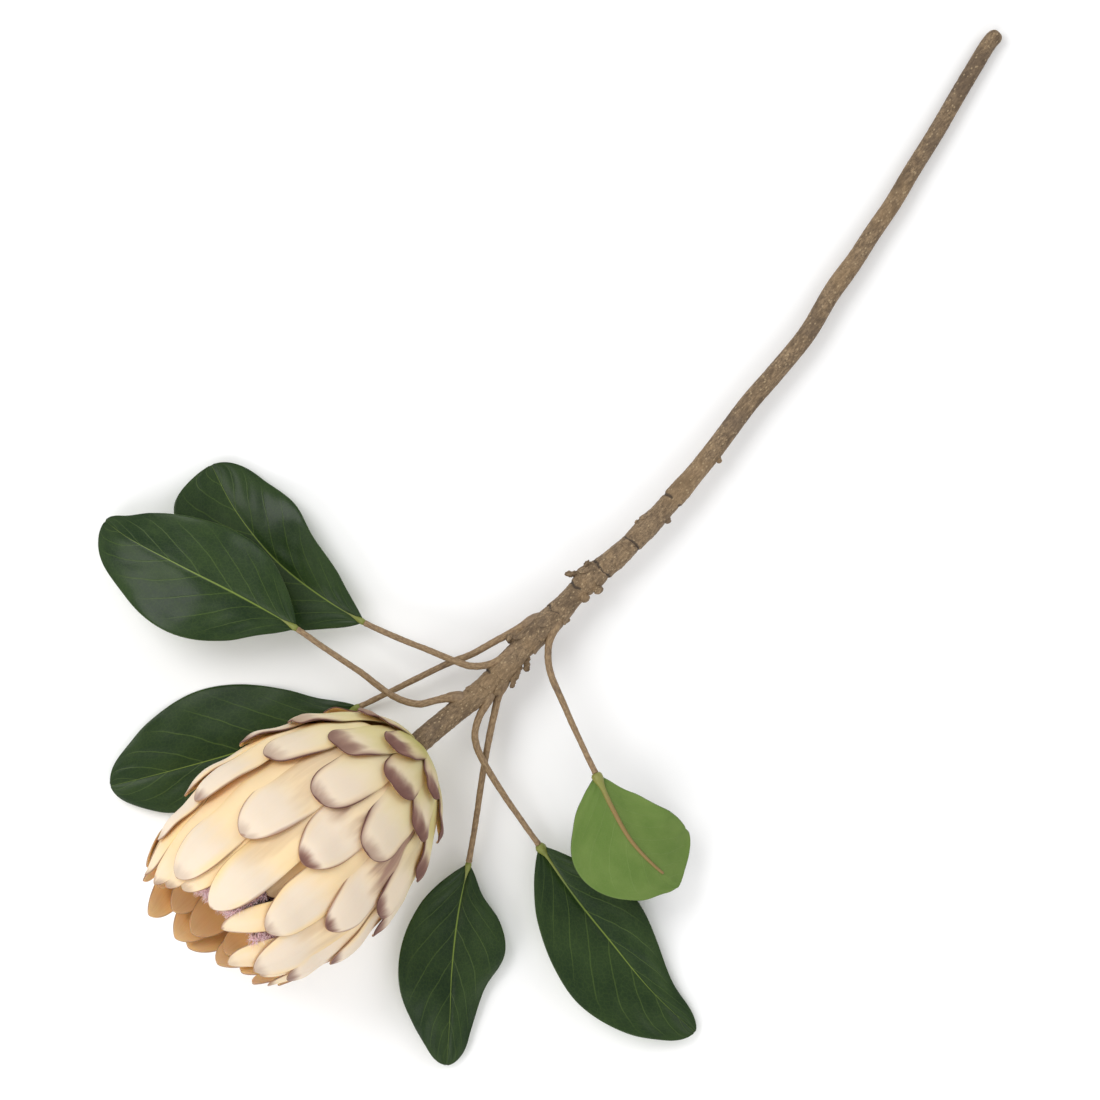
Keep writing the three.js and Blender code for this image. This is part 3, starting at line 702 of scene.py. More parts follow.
# whorl, body and root colour, how many mm from the tip are bare, how far the tip's spot reaches
# and its share, the width of the haze along the edge, the edge line's share and colour, the share
# of painted golden glow along the edges
BRACT_LOOKS = [
    ("short", (0.66, 0.55, 0.33), (0.44, 0.40, 0.11), 28, 17, 1.0, 5.5, 1.0, MAUVE, 0.1),
    ("low", (0.73, 0.61, 0.42), (0.58, 0.51, 0.22), 28, 16, 1.0, 5.0, 1.0, MAUVE, 0.1),
    ("middle", (0.74, 0.62, 0.47), (0.71, 0.60, 0.34), 38, 10, 1.0, 4.5, 1.0, MAUVE, 0.35),
    ("long", CREAM, (0.81, 0.63, 0.37), 44, 9, 1.0, 1.8, 0.5, TAN, 0.65),
    ("rim", CREAM, (0.83, 0.63, 0.36), 44, 8, 0.9, 1.2, 0.4, TAN, 0.7),
    ("inner", (0.79, 0.64, 0.43), (0.84, 0.60, 0.30), 24, 6, 0.9, 1.2, 0.4, TAN, 0.6),
    ("innermost", (0.82, 0.60, 0.34), (0.80, 0.51, 0.21), 24, 6, 0.8, 1.2, 0.4, TAN, 0.5),
]


def bract_finish(name, body, root, bare, reach, spot_share, haze, line_share, line_colour, painted_glow_share):
    finish = Finish("bract_" + name)
    flat, read = placed(finish)
    from_tip, from_edge = finish.mark("from_tip"), finish.mark("from_edge")
    smudge, spot = finish.mark("smudge"), finish.mark("spot")
    streaks = finish.grain(flat, (14, 0.9), 2, 0.5)
    fine = finish.grain(flat, (90, 3.5), 3, 0.6)
    clouds = finish.grain(flat, (2.4, 1.9), 3, 0.5)
    wander = finish.math("MULTIPLY_ADD", clouds, 24.0, -12.0)
    emerging = finish.plus(from_tip, wander)
    finish.ground(finish.ramp(emerging, bare - 20, bare + 3), body, root)
    # a painted golden glow along each bract's edges, as of light coming through where they overlap
    painted_glow_mask = finish.times(finish.ramp(from_edge, 6.5, 0.3), finish.ramp(clouds, 0.32, 0.62))
    painted_glow_mask = finish.times(painted_glow_mask, finish.ramp(from_tip, 2.0, 16.0))
    finish.brush(painted_glow_mask, painted_glow_share, GLOW_GOLD)
    finish.brush(finish.ramp(fine, 0.45, 0.8), 0.07, FIBRE)
    finish.brush(read["Draw"], 0.25, PALE)
    # a soft painted mauve shade, in streaks, where a bract comes out from under its neighbours
    smudged = finish.times(finish.ramp(emerging, bare - 17, bare + 1), smudge)
    smudged = finish.times(smudged, finish.ramp(streaks, 0.25, 0.7, 0.7, 1.0))
    smudged = finish.times(smudged, finish.ramp(clouds, 0.40, 0.60))
    finish.brush(smudged, 0.85, ROOT_SHADE_MAUVE)
    # a spot that fades inwards from the tip, a haze along the outline, then a dark line on it
    ragged = finish.plus(from_tip, finish.math("MULTIPLY_ADD", clouds, reach * -1.3, reach * 0.6))
    hazy = finish.times(finish.ramp(finish.plus(from_edge, finish.times(wander, 0.25)), haze, 0.0),
                        finish.ramp(from_tip, bare, bare * 0.3))
    shade = finish.times(finish.ramp(ragged, reach, reach * 0.2), spot)
    shade = finish.math("MAXIMUM", shade, finish.times(hazy, 0.75))
    finish.brush(shade, spot_share, SOFT_MAUVE)
    deeper = finish.times(finish.ramp(ragged, reach * 0.9, reach * -0.15), spot)
    on_edge = finish.times(finish.ramp(from_edge, haze * 0.45, 0.0), hazy)
    deeper = finish.math("MAXIMUM", deeper, on_edge)
    finish.brush(deeper, spot_share * 0.9, MAUVE)
    line = finish.times(finish.ramp(finish.plus(from_edge, clouds), 1.4, 0.7),
                        finish.ramp(from_tip, bare + 4, bare * 0.4))
    finish.brush(line, line_share, line_colour)
    height = finish.plus(finish.times(fine, 0.35), clouds)
    return finish.wear(finish.ramp(fine, 0.2, 0.8, 0.52, 0.68),
                       finish.raised(height, 0.12, 0.0007), Subsurface_Weight=0.12,
                       Subsurface_Radius=(0.003, 0.0018, 0.0009), Specular_IOR_Level=0.3)


outer_finishes = [bract_finish(*looks) for looks in BRACT_LOOKS]
print("finishes for bracts' backs:", len(outer_finishes))

# %% Mix the finish of the inner faces
WARM_TAN = (0.95, 0.53, 0.17)
LIGHT_TAN = (0.96, 0.68, 0.34)
TAN_STREAK = (0.78, 0.38, 0.12)
WARM_CREAM = (0.95, 0.72, 0.42)


def inner_face_finish():
    """Light comes through the thin sheet, so the inner faces glow under their surface."""
    finish = Finish("bract_inner_face")
    flat, read = placed(finish)
    streaks = finish.grain(flat, (26, 1.6), 4, 0.6)
    finish.ground(finish.ramp(read["Along"], 0.6, 1.0), WARM_TAN, LIGHT_TAN)
    finish.brush(finish.ramp(streaks, 0.4, 0.75), 0.25, TAN_STREAK)
    finish.brush(read["Draw"], 0.45, WARM_CREAM)
    finish.brush(finish.ramp(finish.mark("from_edge"), 1.1, 0.2), 0.4, TAN)
    return finish.wear(0.6, finish.raised(streaks, 0.25, 0.0005), Subsurface_Weight=0.4,
                       Subsurface_Radius=(0.006, 0.003, 0.001), Specular_IOR_Level=0.3)


inner_face = inner_face_finish()
print("finish for their inner faces:", inner_face.name)

# %% Grow the whorls
for k, (whorl, finish) in enumerate(zip(WHORLS, outer_finishes)):
    grown = [shape_bract(number, *plan) for number, plan in enumerate(bract_plan) if plan[0] == k]
    whole = join_as("bracts_" + whorl["name"], grown)
    thicken_leathery(whole, BRACT_THICKNESS, finish, inner_face)
    put_in_place(whole, "bract", "bracts")

# %% [markdown]
# ## The receptacle
#
# All bracts are rooted on a solid woody cup at the head's base. It hardly shows, because the
# shortest bracts close round the stem, so it is a plain body turned on the head's axis and sunk
# a little under them. A ring that is extruded along a profile does what a lathe would.

# %% Spin the receptacle
SPIN_STEPS = 48
CUP_PROFILE = [(0.3, 2.2), (7, 2.4), (12, 4.5), (20, 9.5), (27, 16), (34, 26), (38, 36), (38, 44),
               (0.3, 44)]  # radius and station


def turned(name, profile):
    """A profile of (radius, station) spun round the head's axis."""
    bpy.ops.object.select_all(action="DESELECT")
    bpy.ops.mesh.primitive_circle_add(vertices=SPIN_STEPS, radius=1, fill_type="NOTHING")
    ring = bpy.context.object
    turns = np.array([math.atan2(v.co.y, v.co.x) for v in ring.data.vertices])
    bpy.ops.object.mode_set(mode="EDIT")
    bpy.ops.mesh.select_all(action="SELECT")
    for _ in profile[1:]:
        bpy.ops.mesh.extrude_region_move()
    bpy.ops.object.mode_set(mode="OBJECT")
    places = np.concatenate([head_point(station, radius, turns) for radius, station in profile])
    ring.data.vertices.foreach_set("co", ((places + CENTRE) * MM).ravel())
    bpy.ops.object.mode_set(mode="EDIT")
    bpy.ops.mesh.select_all(action="SELECT")
    bpy.ops.mesh.remove_doubles(threshold=0.00005)
    bpy.ops.mesh.fill_holes(sides=0)
    bpy.ops.mesh.normals_make_consistent(inside=False)
    bpy.ops.object.mode_set(mode="OBJECT")
    bpy.ops.object.shade_smooth()
    ring.name = name
    return ring


def woody_finish(name, dark, light, scale):
    finish = Finish(name)
    patches = finish.grain(finish.node("TexCoord").outputs["Object"], scale, 5, 0.6)
    finish.ground(finish.ramp(patches, 0.3, 0.7), dark, light)
    return finish.wear(0.8, finish.raised(patches, 0.5, 0.0006))


receptacle = turned("receptacle", CUP_PROFILE)
dress(receptacle, woody_finish("receptacle_green", (0.30, 0.27, 0.07), (0.44, 0.38, 0.13), 150))
put_in_place(receptacle, "bract", "bracts")

# %% [markdown]
# ## The florets
#
# Inside the goblet stands a dense bundle of florets. Each is a slim pale stalk that ends in a
# woolly, mauve tuft. They spiral out from the middle at the golden angle, as in every flower
# head of this kind. In two seams between the bracts round the mouth, more of them push out.

# %% Spin the bundle's core
CORE_PROFILE = [(0.3, 44.4), (35, 44.4), (40, 100), (38, 115), (33, 121), (20, 127), (0.3, 129)]
core = turned("floret_core", CORE_PROFILE)
dress(core, woody_finish("floret_shade", (0.16, 0.07, 0.06), (0.34, 0.18, 0.17), 400))
put_in_place(core, "floret", "florets")

# %% [markdown]
# ### Stalks and wool
#
# A thousand florets and ten thousand hairs must each have very few faces. One stalk and one hair
# are made as rings of unit width, and every copy is bent along its own three points. That is
# plain reckoning with lists of points, which operators would take minutes over.

# %% Copy a strand along its points
STALK_SIDES, HAIR_SIDES = 4, 3
STALK_RINGS = [(0.8, 0), (1, 0.5), (1.25, 0.85), (0.7, 1)]  # radius and share of the length
HAIR_RINGS = [(1, 0), (0.9, 0.5), (0.4, 1)]


def strand_mesh(sides, rings):
    """Rings of (radius, share of the length), as vertices and faces, with both ends closed."""
    angles = [2 * math.pi * i / sides for i in range(sides)]
    vertices = [(r * math.cos(a), r * math.sin(a), t) for r, t in rings for a in angles]
    last = (len(rings) - 1) * sides
    faces = [(j + i, j + (i + 1) % sides, j + (i + 1) % sides + sides, j + i + sides)
             for j in range(0, last, sides) for i in range(sides)]
    faces += [tuple(range(last, last + sides)), tuple(range(sides - 1, -1, -1))]
    return np.array(vertices), faces


def bundle(name, strands, sides, rings, material):
    """strands: (points along it, radius in mm). Each strand is a copy bent along its points."""
    unit, faces = strand_mesh(sides, rings)
    t = unit[:, 2]
    coordinates, polygons, shades = [], [], []
    for number, (points, radius) in enumerate(strands):
        points = np.array(points)
        shares = np.linspace(0, 1, len(points))
        spine = np.stack([np.interp(t, shares, points[:, k]) for k in range(3)], axis=1)
        way = points[-1] - points[0]
        way /= np.linalg.norm(way)
        side = np.cross(way, [0.3, 0.5, 0.81])
        side /= np.linalg.norm(side)
        ring = unit[:, :1] * side + unit[:, 1:2] * np.cross(way, side)
        coordinates.append(spine + radius * ring)
        polygons += [tuple(i + number * len(unit) for i in face) for face in faces]
        shades += [(number + 0.5, t[i]) for face in faces for i in face]
    mesh = bpy.data.meshes.new(name)
    mesh.from_pydata(((np.concatenate(coordinates) + CENTRE) * MM).tolist(), [], polygons)
    layer = mesh.uv_layers.new(name="piece_map")
    layer.data.foreach_set("uv", np.array(shades).ravel())
    mesh.materials.append(material)
    mesh.shade_smooth()
    put_in_place(add_object(name, mesh), "floret", "florets")


print("points in a stalk:", len(strand_mesh(STALK_SIDES, STALK_RINGS)[0]))


# %% Place the florets and their hairs
FLORETS = 1150
GOLDEN_TURN = math.pi * (3 - math.sqrt(5))
BUNDLE_RADIUS = 41.5
BUNDLE_AT = 132  # station of the middle floret
BUNDLE_SLANT = 16  # how much farther out the upper left florets stand
FLORET_LENGTH = 12.5
FLORET_RADIUS = 0.55
HAIRS = 9
HAIR_RADIUS = 0.11
HAIR_SPREAD = 2.4
SEAMS = [(5.5, 146), (29.5, 147)]  # turn in degrees and station
SEAM_FLORETS = 52
SEAM_REACH = 10
draw = Draw(1618)
stalks, hairs = [], []


def draw_offset():
    return np.array([draw(), draw(), draw()])


def grow_floret(foot, middle, top):
    stalks.append(([foot, middle, top], FLORET_RADIUS))
    for _ in range(HAIRS):
        spread = draw_offset()
        start = middle + (top - middle) * (0.5 + 0.5 * draw())
        out = start + (top - middle) * 0.55 + HAIR_SPREAD * spread
        hairs.append(([start, (start + out) / 2 + 0.5 * draw_offset(), out], HAIR_RADIUS))


for i in range(FLORETS):
    share = math.sqrt((i + 0.5) / FLORETS)
    turn = i * GOLDEN_TURN
    root_radius = (BUNDLE_RADIUS + 2.5 * max(math.cos(turn + 0.35), 0)) * share
    root = BUNDLE_AT + BUNDLE_SLANT * share * math.cos(turn + 0.6) - 2 * share**2
    length = FLORET_LENGTH * (1 + 0.2 * draw())
    lean = 4.5 * float(smooth((share - 0.6) / 0.4)) - 1.5 * share
    grow_floret(head_point(root - 6, root_radius - 1.0, turn),
                head_point(root + length * 0.6, root_radius + lean * 0.4, turn + 0.03 * draw()),
                head_point(root + length, root_radius + lean, turn + 0.06 * draw()))
for seam_turn, seam_at in SEAMS:  # rooted deep in the goblet, up to the bracts' faces
    for _ in range(SEAM_FLORETS):
        along = SEAM_REACH * draw()
        turn = math.radians(seam_turn - 0.25 * along + 2.5 * draw())
        at = seam_at + along
        grow_floret(head_point(at - 9, 42, turn), head_point(at - 1, 47 + draw(), turn),
                    head_point(at + 2, 50.5 + draw(), turn + 0.03 * draw()))
print("florets:", len(stalks), "with", len(hairs), "hairs")

# %% Give stalks and wool their colours


def floret_finish(name, low, high, tint):
    finish = Finish(name)
    _, read = placed(finish)
    finish.ground(finish.ramp(read["Along"], 0.45, 1.0), low, high)
    finish.brush(read["Draw"], 0.75, tint)
    return finish.wear(0.75, Sheen_Weight=0.5, Sheen_Roughness=0.35)


bundle("floret_stalks", stalks, STALK_SIDES, STALK_RINGS,
       floret_finish("floret_mauve", (0.66, 0.45, 0.36), (0.58, 0.29, 0.32), (0.80, 0.56, 0.54)))
bundle("floret_wool", hairs, HAIR_SIDES, HAIR_RINGS,
       floret_finish("floret_wool", (0.78, 0.40, 0.46), (0.92, 0.64, 0.69), (0.97, 0.90, 0.90)))

# %% [markdown]
# ## The stem
#
# The woody stem is swollen at its old leaf scars, where rings of bark and broken side shoots
# stand out. A bent cylinder would look like a pipe, so the bark is one fine grid that is rolled
# round the stem's line, with its ridges, crust and cracks raised in the mesh itself.

# %% Lay the stem's line
STEM_PLAN = [
    (-4.8, -174.5), (-3.1, -163.5), (0.2, -144.2), (3.8, -122.3), (4.9, -90.4), (7.1, -65),
    (7.7, -39.5), (11.8, -15.4), (13.6, 10.5), (14.1, 34.5), (13.5, 61.4), (10.9, 99.5),
    (10.9, 121.6), (10, 150.7), (5.1, 178.4), (3, 201.1), (0.5, 218.8), (-2, 240.3), (-5.9, 261.5),
    (-9.8, 286.4), (-14, 308.8), (-18.1, 331.3), (-20.7, 347.5), (-20.2, 354.9),
]
CUT_END_HEIGHT = 4.2
STEM_FALL = 17.3  # from the head to the cut end
NECK_RISE, NECK_LENGTH = 12, 34  # the steep stretch into the head
plan = np.array(STEM_PLAN)
plan_runs = np.concatenate([[0], np.cumsum(np.hypot(*np.diff(plan, axis=0).T))])
heights = (CUT_END_HEIGHT + STEM_FALL * (1 - plan_runs / plan_runs[-1])
           + NECK_RISE * np.exp(-plan_runs / NECK_LENGTH))
stem_line = GrowthLine(np.column_stack([plan, heights]))
STEM_START = 0.6
STEM_RADIUS = 6.4
STEM_THINS_BY = 1.9
# where, how much, over what length
SWELLINGS = [(44, 0.5, 9), (68, 1.0, 12), (101, 1.9, 15), (141, 1.7, 8), (159, 0.6, 7),
             (184, 0.7, 8), (213, 0.5, 7), (366, 0.4, 12)]
SCARS = [61, 111, 131, 148, 171, 205]  # rings where old leaves and sheaths broke off


def stem_radius(distance):
    radius = STEM_RADIUS - STEM_THINS_BY * distance / stem_line.length
    for at, rise, spread in SWELLINGS:
        radius = radius + rise * bump((distance - at) / spread)
    to_end = np.clip((stem_line.length - distance) / 4, 0, 1)
    return radius * np.sqrt(1 - 0.75 * (1 - to_end) ** 2)


print("stem:", round(stem_line.length), "mm long")

# %% Roll the bark round it
BARK_GRID = (40, 900)
RIDGES, CRUST, GRIT = 0.20, 0.34, 0.12  # heights in mm
SCAR_STEP, SCAR_CRACK = 0.75, 0.8
SCAR_REACH = 14


def roll_tube(line, start, end, size, radius_at, skin, seed=0, marks=None):
    """A closed tube: a grid rolled round a line, with both ends drawn shut."""

    def place(u, v):
        distance = start + (end - start) * v
        turn = 2 * math.pi * u
        _, right, up = line.sides(distance)
        radius = radius_at(distance) + np.array([
            skin(math.cos(a), math.sin(a), d) for a, d in zip(turn, distance)])
        return (line.at(distance) + (radius * np.cos(turn))[:, None] * right
                - (radius * np.sin(turn))[:, None] * up)

    tube = lay_grid(size, place, seed, marks)
    close_tube()
    return tube


def scar_distance(x, y, d, at):
    """How far a point lies past a scar, which wanders round the stem."""
    return d - at - 2.6 * rough(x * 1.2, y * 1.2, at)


def broken_here(x, y, at):
    """A scar runs out on one side of the stem."""
    return float(smooth(1.1 + 1.9 * rough(x * 0.9, y * 0.9, at * 1.7)))


def bark_skin(x, y, d):
    """The bark's height: lengthwise ridges, crust, and a step with a crack at each scar."""
    ridge = rough(x * 2.6, y * 2.6, d * 0.045)
    crust = rough(x * 5.0, y * 5.0, d * 0.35)
    grit = rough(x * 11, y * 11, d * 1.1)
    scar = 0.0
    for at in SCARS:
        past = scar_distance(x, y, d, at)
        if abs(past) < SCAR_REACH:
            step = SCAR_STEP * math.exp(-max(past, 0) / 4) * (past > 0)
            crack = SCAR_CRACK * math.exp(-((past / 0.9) ** 2))
            scar += (step - crack) * broken_here(x, y, at)
    old = 1 - 0.6 * float(smooth((d - 190) / 60))  # young bark is smoother
    return old * (RIDGES * ridge + CRUST * crust + scar) + GRIT * grit


def bark_marks(u, v):
    """How deep in a scar's crack a point lies, for the finish."""
    distance = STEM_START + (stem_line.length - STEM_START) * v

    def depth(x, y, d):
        return max(broken_here(x, y, at) * math.exp(-(scar_distance(x, y, d, at) / 1.1) ** 2)
                   for at in SCARS)

    turn = 2 * math.pi * u
    return {"cracked": np.array([depth(*at) for at in zip(np.cos(turn), np.sin(turn), distance)])}


stem = roll_tube(stem_line, STEM_START, stem_line.length, BARK_GRID, stem_radius, bark_skin,
                 marks=bark_marks)
print("bark:", len(stem.data.polygons), "faces")

# %% [markdown]
# ### Broken side shoots and loose bark
#
# Old shoots have snapped off near the swellings, and left stubs with ragged ends. A stub is a
# short tube of the same kind. Scales of bark have come loose beside them: a scale is a small
# sheet that is rooted in the stem and lifted at its outer end.

# %% Grow the broken side shoots
SNAG_GRID = (18, 34)
# distance, turn round the stem (0 up, 90 towards +X) and lean towards the head in degrees,
# length, radius, raggedness
SNAGS = [
    (143, -80, 48, 6, 1.6, 1.2), (146, -66, 20, 2.6, 2.2, 1.4), (140, 66, 8, 3.4, 3.1, 0.5),
    (130, 58, 6, 2.8, 2.8, 0.4), (86, 80, 62, 11, 1.7, 1.7), (88, 84, 46, 6.5, 1.6, 1.6),
    (115, 84, 20, 1.2, 2.4, 0.5), (198, 84, 30, 2.2, 2.0, 0.4), (193, -80, 60, 2.5, 1.4, 0.5),
    (243, 84, 30, 2.4, 1.7, 0.4), (97, -88, 58, 4.5, 3.0, 1.3), (60, 70, 30, 2, 2.8, 0.8),
    (170, 40, 6, 0.8, 2.0, 0.4),
]


def snag(at, turn, lean, length, radius, ragged):
    along, right, up = (side[0] for side in stem_line.sides(np.array([float(at)])))
    turn, lean = math.radians(turn), math.radians(lean)
    outward = up * math.cos(turn) + right * math.sin(turn)
    way = outward * math.cos(lean) - along * math.sin(lean)
    root = stem_line.at(np.array([float(at)]))[0]
    way = way * (float(stem_radius(np.array(at))) / math.cos(lean) + length)
    bend = outward * 0.12 * length
    line = GrowthLine([root, root + way * 0.5 + bend * 0.4, root + way * 0.85 - bend * 0.6,
                       root + way])

    def taper(d):
        share = d / line.length
        rim = 0.12 * bump((share - 0.9) / 0.07)
        blunt = np.sqrt(np.clip(1.02 - share**18, 0.05, 1))
        return radius * (1.2 - 0.35 * share + rim) * blunt

    def skin(x, y, d):
        return ragged * (rough(x * 1.8, y * 1.8, d * 0.5 + at)
                         + 0.5 * rough(x * 4, y * 4, d * 1.3 + at))

    return roll_tube(line, 0, line.length, SNAG_GRID, taper, skin)


snags = [snag(*values) for values in SNAGS]
print("broken shoots:", len(snags))

# %% Peel the bark flakes
FLAKE_GRID = (9, 12)
FLAKE_THICKNESS = 0.9
FLAKE_ROOT = 0.6  # how deep a flake is rooted in the stem
# distance, turn in degrees, length, half width in radians, lift
FLAKES = [
    (148, 30, 8, 0.7, 1.5), (145, -60, 8, 0.6, 2.0), (141, 20, 6, 0.5, 1.4),
    (113, -20, 14, 0.6, 1.9), (104, 30, 10, 0.8, 1.3), (97, -75, 13, 0.5, 2.0),
    (93, -60, 9, 0.5, 2.4), (95, 70, 9, 0.6, 1.4), (74, -70, 11, 0.5, 1.6), (70, 10, 8, 0.8, 1.1),
    (66, 60, 12, 0.5, 1.5), (203, 15, 5, 0.9, 0.8), (171, -10, 5, 1.0, 0.9),
    (162, 55, 7, 0.8, 1.0), (192, -60, 8, 0.4, 1.5), (118, 60, 8, 0.5, 1.2),
    (50, -60, 7, 0.6, 1.1), (59, -20, 8, 0.7, 1.2),
]


def bark_flake(at, turn, length, width, lift):
    def place(u, v):
        distance = at - length * v
        half = width * np.sqrt(np.clip(1.05 - v**3, 0.05, 1))
        around = math.radians(turn) + (2 * u - 1) * half
        _, right, up = stem_line.sides(distance)
        ragged = rough_over(around, distance, (4, 0.6), at)
        radius = stem_radius(distance) - FLAKE_ROOT + lift * v**1.5 + 0.5 * ragged * v
        return (stem_line.at(distance) + (radius * np.sin(around))[:, None] * right
                + (radius * np.cos(around))[:, None] * up)

    flake = lay_grid(FLAKE_GRID, place, seed=at)
    thicken(flake, FLAKE_THICKNESS, offset=0)
    return flake


flakes = [bark_flake(*values) for values in FLAKES]
stem = join_as("stem_bark", [stem, *snags, *flakes])
print("bark flakes:", len(flakes))

# %% [markdown]
# ### Bark
#
# The bark is a dull grey brown with darker smudges, worn patches, paler pores and fine
# lengthwise fibres. Its colours read the place in space, since the stem hardly bends, and the
# cracks read what the mesh noted: a painted shade darkens them where they are deep.

# %% Finish the stem
BARK_DARK, BARK_LIGHT = (0.115, 0.074, 0.040), (0.290, 0.200, 0.112)
BARK_SMUDGE, BARK_SPECK = (0.085, 0.056, 0.034), (0.060, 0.040, 0.024)
BARK_BARE, BARK_GREY = (0.30, 0.195, 0.095), (0.10, 0.070, 0.048)
# the second colour is a painted shade for the scars' cracks
BARK_PORE, BARK_CRACK_SHADE = (0.46, 0.345, 0.20), (0.030, 0.020, 0.014)


def bark_finish():
    finish = Finish("bark")
    place = finish.node("TexCoord").outputs["Object"]
    fibres = finish.grain(place, (700, 240, 700), 5, 0.65)
    smudges = finish.grain(place, (85, 40, 85), 4, 0.6, 0.6)
    specks = finish.grain(place, 1100, 2, 0.5)
    worn = finish.grain(place, 26, 3, 0.6)
    pores = finish.node("TexVoronoi", None, Vector=finish.stretch(place, 420, 300, 420), Scale=1.0)
    pore = finish.ramp(pores.outputs["Distance"], 0.12, 0.27, 1.0, 0.0)
    finish.ground(finish.ramp(fibres, 0.3, 0.7), BARK_DARK, BARK_LIGHT)
    finish.brush(finish.ramp(smudges, 0.47, 0.66), 0.62, BARK_SMUDGE)
    finish.brush(finish.ramp(specks, 0.52, 0.68), 0.6, BARK_SPECK)
    finish.brush(finish.ramp(worn, 0.53, 0.64), 0.3, BARK_BARE)
    finish.brush(finish.ramp(worn, 0.46, 0.36), 0.4, BARK_GREY)
    finish.brush(pore, 0.6, BARK_PORE)
    # painted shade, near black, deep in the scars' cracks
    finish.brush(finish.ramp(finish.mark("cracked"), 0.25, 0.9), 0.8, BARK_CRACK_SHADE)
    height = finish.plus(fibres, finish.times(pore, 0.3))
    return finish.wear(finish.ramp(smudges, 0.3, 0.7, 0.7, 0.92),
                       finish.raised(height, 0.7, 0.0007))


dress(stem, bark_finish())
put_in_place(stem, "bark", "stem")

# %% [markdown]
# ## The leaves
#
# A leaf is a leathery blade on a long thin stalk. The stalk is tan and swells into the stem.
# At its other end a green collar runs on as the midrib, raised under the blade. Each blade is
# folded up a little along its midrib, waved at the edges, and faintly quilted by its veins.
# No two are alike, so each has its own line, widths, roll, fold and waves. The sixth is turned
# over, which is a roll by half a turn.

# %% List the six leaves
LEAF_THICKNESS = 0.9
BLADE_START = 6  # from the stalk's end to where the listed widths begin
WEDGE_START = 1.2  # from the stalk's end to the blade's pointed root
# Lines from inside the stem to the blade, then along the midrib; half widths left and right of it,
# in mm, at six shares of the blade's length.
WIDTH_AT = [0.06, 0.2, 0.4, 0.6, 0.8, 0.94]
LEAVES = [
    dict(stalk=[(3.1, -134.2, 23.8), (-7, -140.3, 27.1), (-13, -147.4, 30.6), (-19, -155.4, 32.5),
                (-32.1, -161, 34.8), (-56.2, -163.1, 36.6), (-83.2, -166.5, 36),
                (-99.3, -168.3, 34.4)],
         midrib=[(-135.4, -175.5, 32.9), (-172.5, -184.9, 28.2), (-207, -193.3, 18),
                 (-224.5, -195.5, 7.9)],
         left=[12, 26, 36, 35, 25.5, 15], right=[14.5, 27, 32, 28, 18.5, 8],
         roll=(-6, 4), fold=0.16, wave=2.0, waves=1.5, shift=0.2, collar=0),
    dict(stalk=[(4.1, -90.2, 19.7), (1.6, -100.2, 23.1), (-3.4, -112.2, 25.4),
                (-10.9, -119.8, 26.3), (-19, -123.3, 26.4), (-35, -128.8, 25.4),
                (-51.1, -134.5, 23.3), (-73.1, -141.2, 18.8)],
         midrib=[(-98.3, -145.9, 15.7), (-135.2, -147.7, 12.6), (-171.7, -141.4, 9.5),
                 (-199.5, -131, 5.6)],
         left=[11.5, 25, 36, 38.5, 34, 24], right=[9, 18, 25, 30, 24, 15],
         roll=(10, -8), fold=0.1, wave=2.0, waves=1.5, shift=0.6, collar=0),
    dict(stalk=[(3, -70.1, 18.6), (-2.4, -82.1, 18.9), (-8.7, -98.1, 19.1), (-15, -115.2, 18.2),
                (-21.2, -126.9, 17.1), (-33.4, -155.8, 12.5), (-43.6, -180.1, 5.4)],
         midrib=[(-59, -212.1, 3.5), (-83, -252.1, 4.4), (-108, -289.1, 6), (-122, -309, 5.2)],
         left=[9, 15, 20, 24, 23.5, 13], right=[11, 25, 38, 40.5, 30, 15.5],
         roll=(-4, -1), fold=0, wave=1.2, waves=1.3, shift=0.1, collar=0.2),
    dict(stalk=[(3.1, -106.2, 20.8), (9.9, -115.2, 21.1), (12.7, -122.8, 20.1),
                (17.7, -132.2, 19.3), (22.8, -141.5, 18.8), (32.6, -158.1, 18.4),
                (49.5, -184.7, 16.1), (62.6, -206.2, 13.4)],
         midrib=[(77.6, -232.8, 11), (95.7, -259, 8.7), (114, -282, 6.7), (130, -303.5, 4)],
         left=[9, 23, 29.5, 19.5, 13, 8.5], right=[12.5, 23, 30.5, 30, 21, 10.5],
         roll=(4, 6), fold=0.1, wave=1.8, waves=1.4, shift=0.45, collar=0),
    dict(stalk=[(3.1, -118.2, 21.8), (9.6, -129.3, 23.8), (12.1, -138.8, 24.7),
                (16.1, -146.9, 25.1), (22.3, -152.3, 24.9), (34.4, -157.6, 24.3),
                (53.2, -163.4, 22.4), (70.2, -167.8, 20), (86.2, -171.8, 17.6)],
         midrib=[(120.2, -180.7, 13.8), (155.1, -187.1, 10.6), (190, -193, 7.5),
                 (225.5, -195, 4.8)],
         left=[10.5, 23, 27, 20.5, 11.5, 7], right=[13, 25, 35, 37, 27, 14],
         roll=(0, 10), fold=0.12, wave=2.0, waves=1.4, shift=0.0, collar=0.9),
    dict(stalk=[(4.1, -60.1, 18.2), (10.6, -70.1, 22.3), (14.6, -80.6, 25.4), (21.6, -89.2, 28.1),
                (28.7, -94.2, 30.4), (38.2, -98.7, 32.7), (57.9, -107.9, 35.9),
                (83, -118.9, 37.5)],
         midrib=[(102.2, -127.4, 39.5), (122.3, -134.5, 38), (144.4, -137.1, 31),
                 (161.4, -136.2, 22)],
         left=[14.5, 25.5, 35, 32, 20.5, 8], right=[8.5, 17.5, 26.5, 30, 29.5, 23],
         roll=(188, 196), fold=0.1, wave=1.5, waves=1.2, shift=0.3, collar=0.95),
]
for leaf in LEAVES:
    leaf["line"] = GrowthLine([*leaf["stalk"], *leaf["midrib"]])
    leaf["joint"] = leaf["line"].nearest(leaf["stalk"][-1])
blade_lengths = [round(leaf["line"].length - leaf["joint"]) for leaf in LEAVES]
print("blades:", blade_lengths, "mm long")

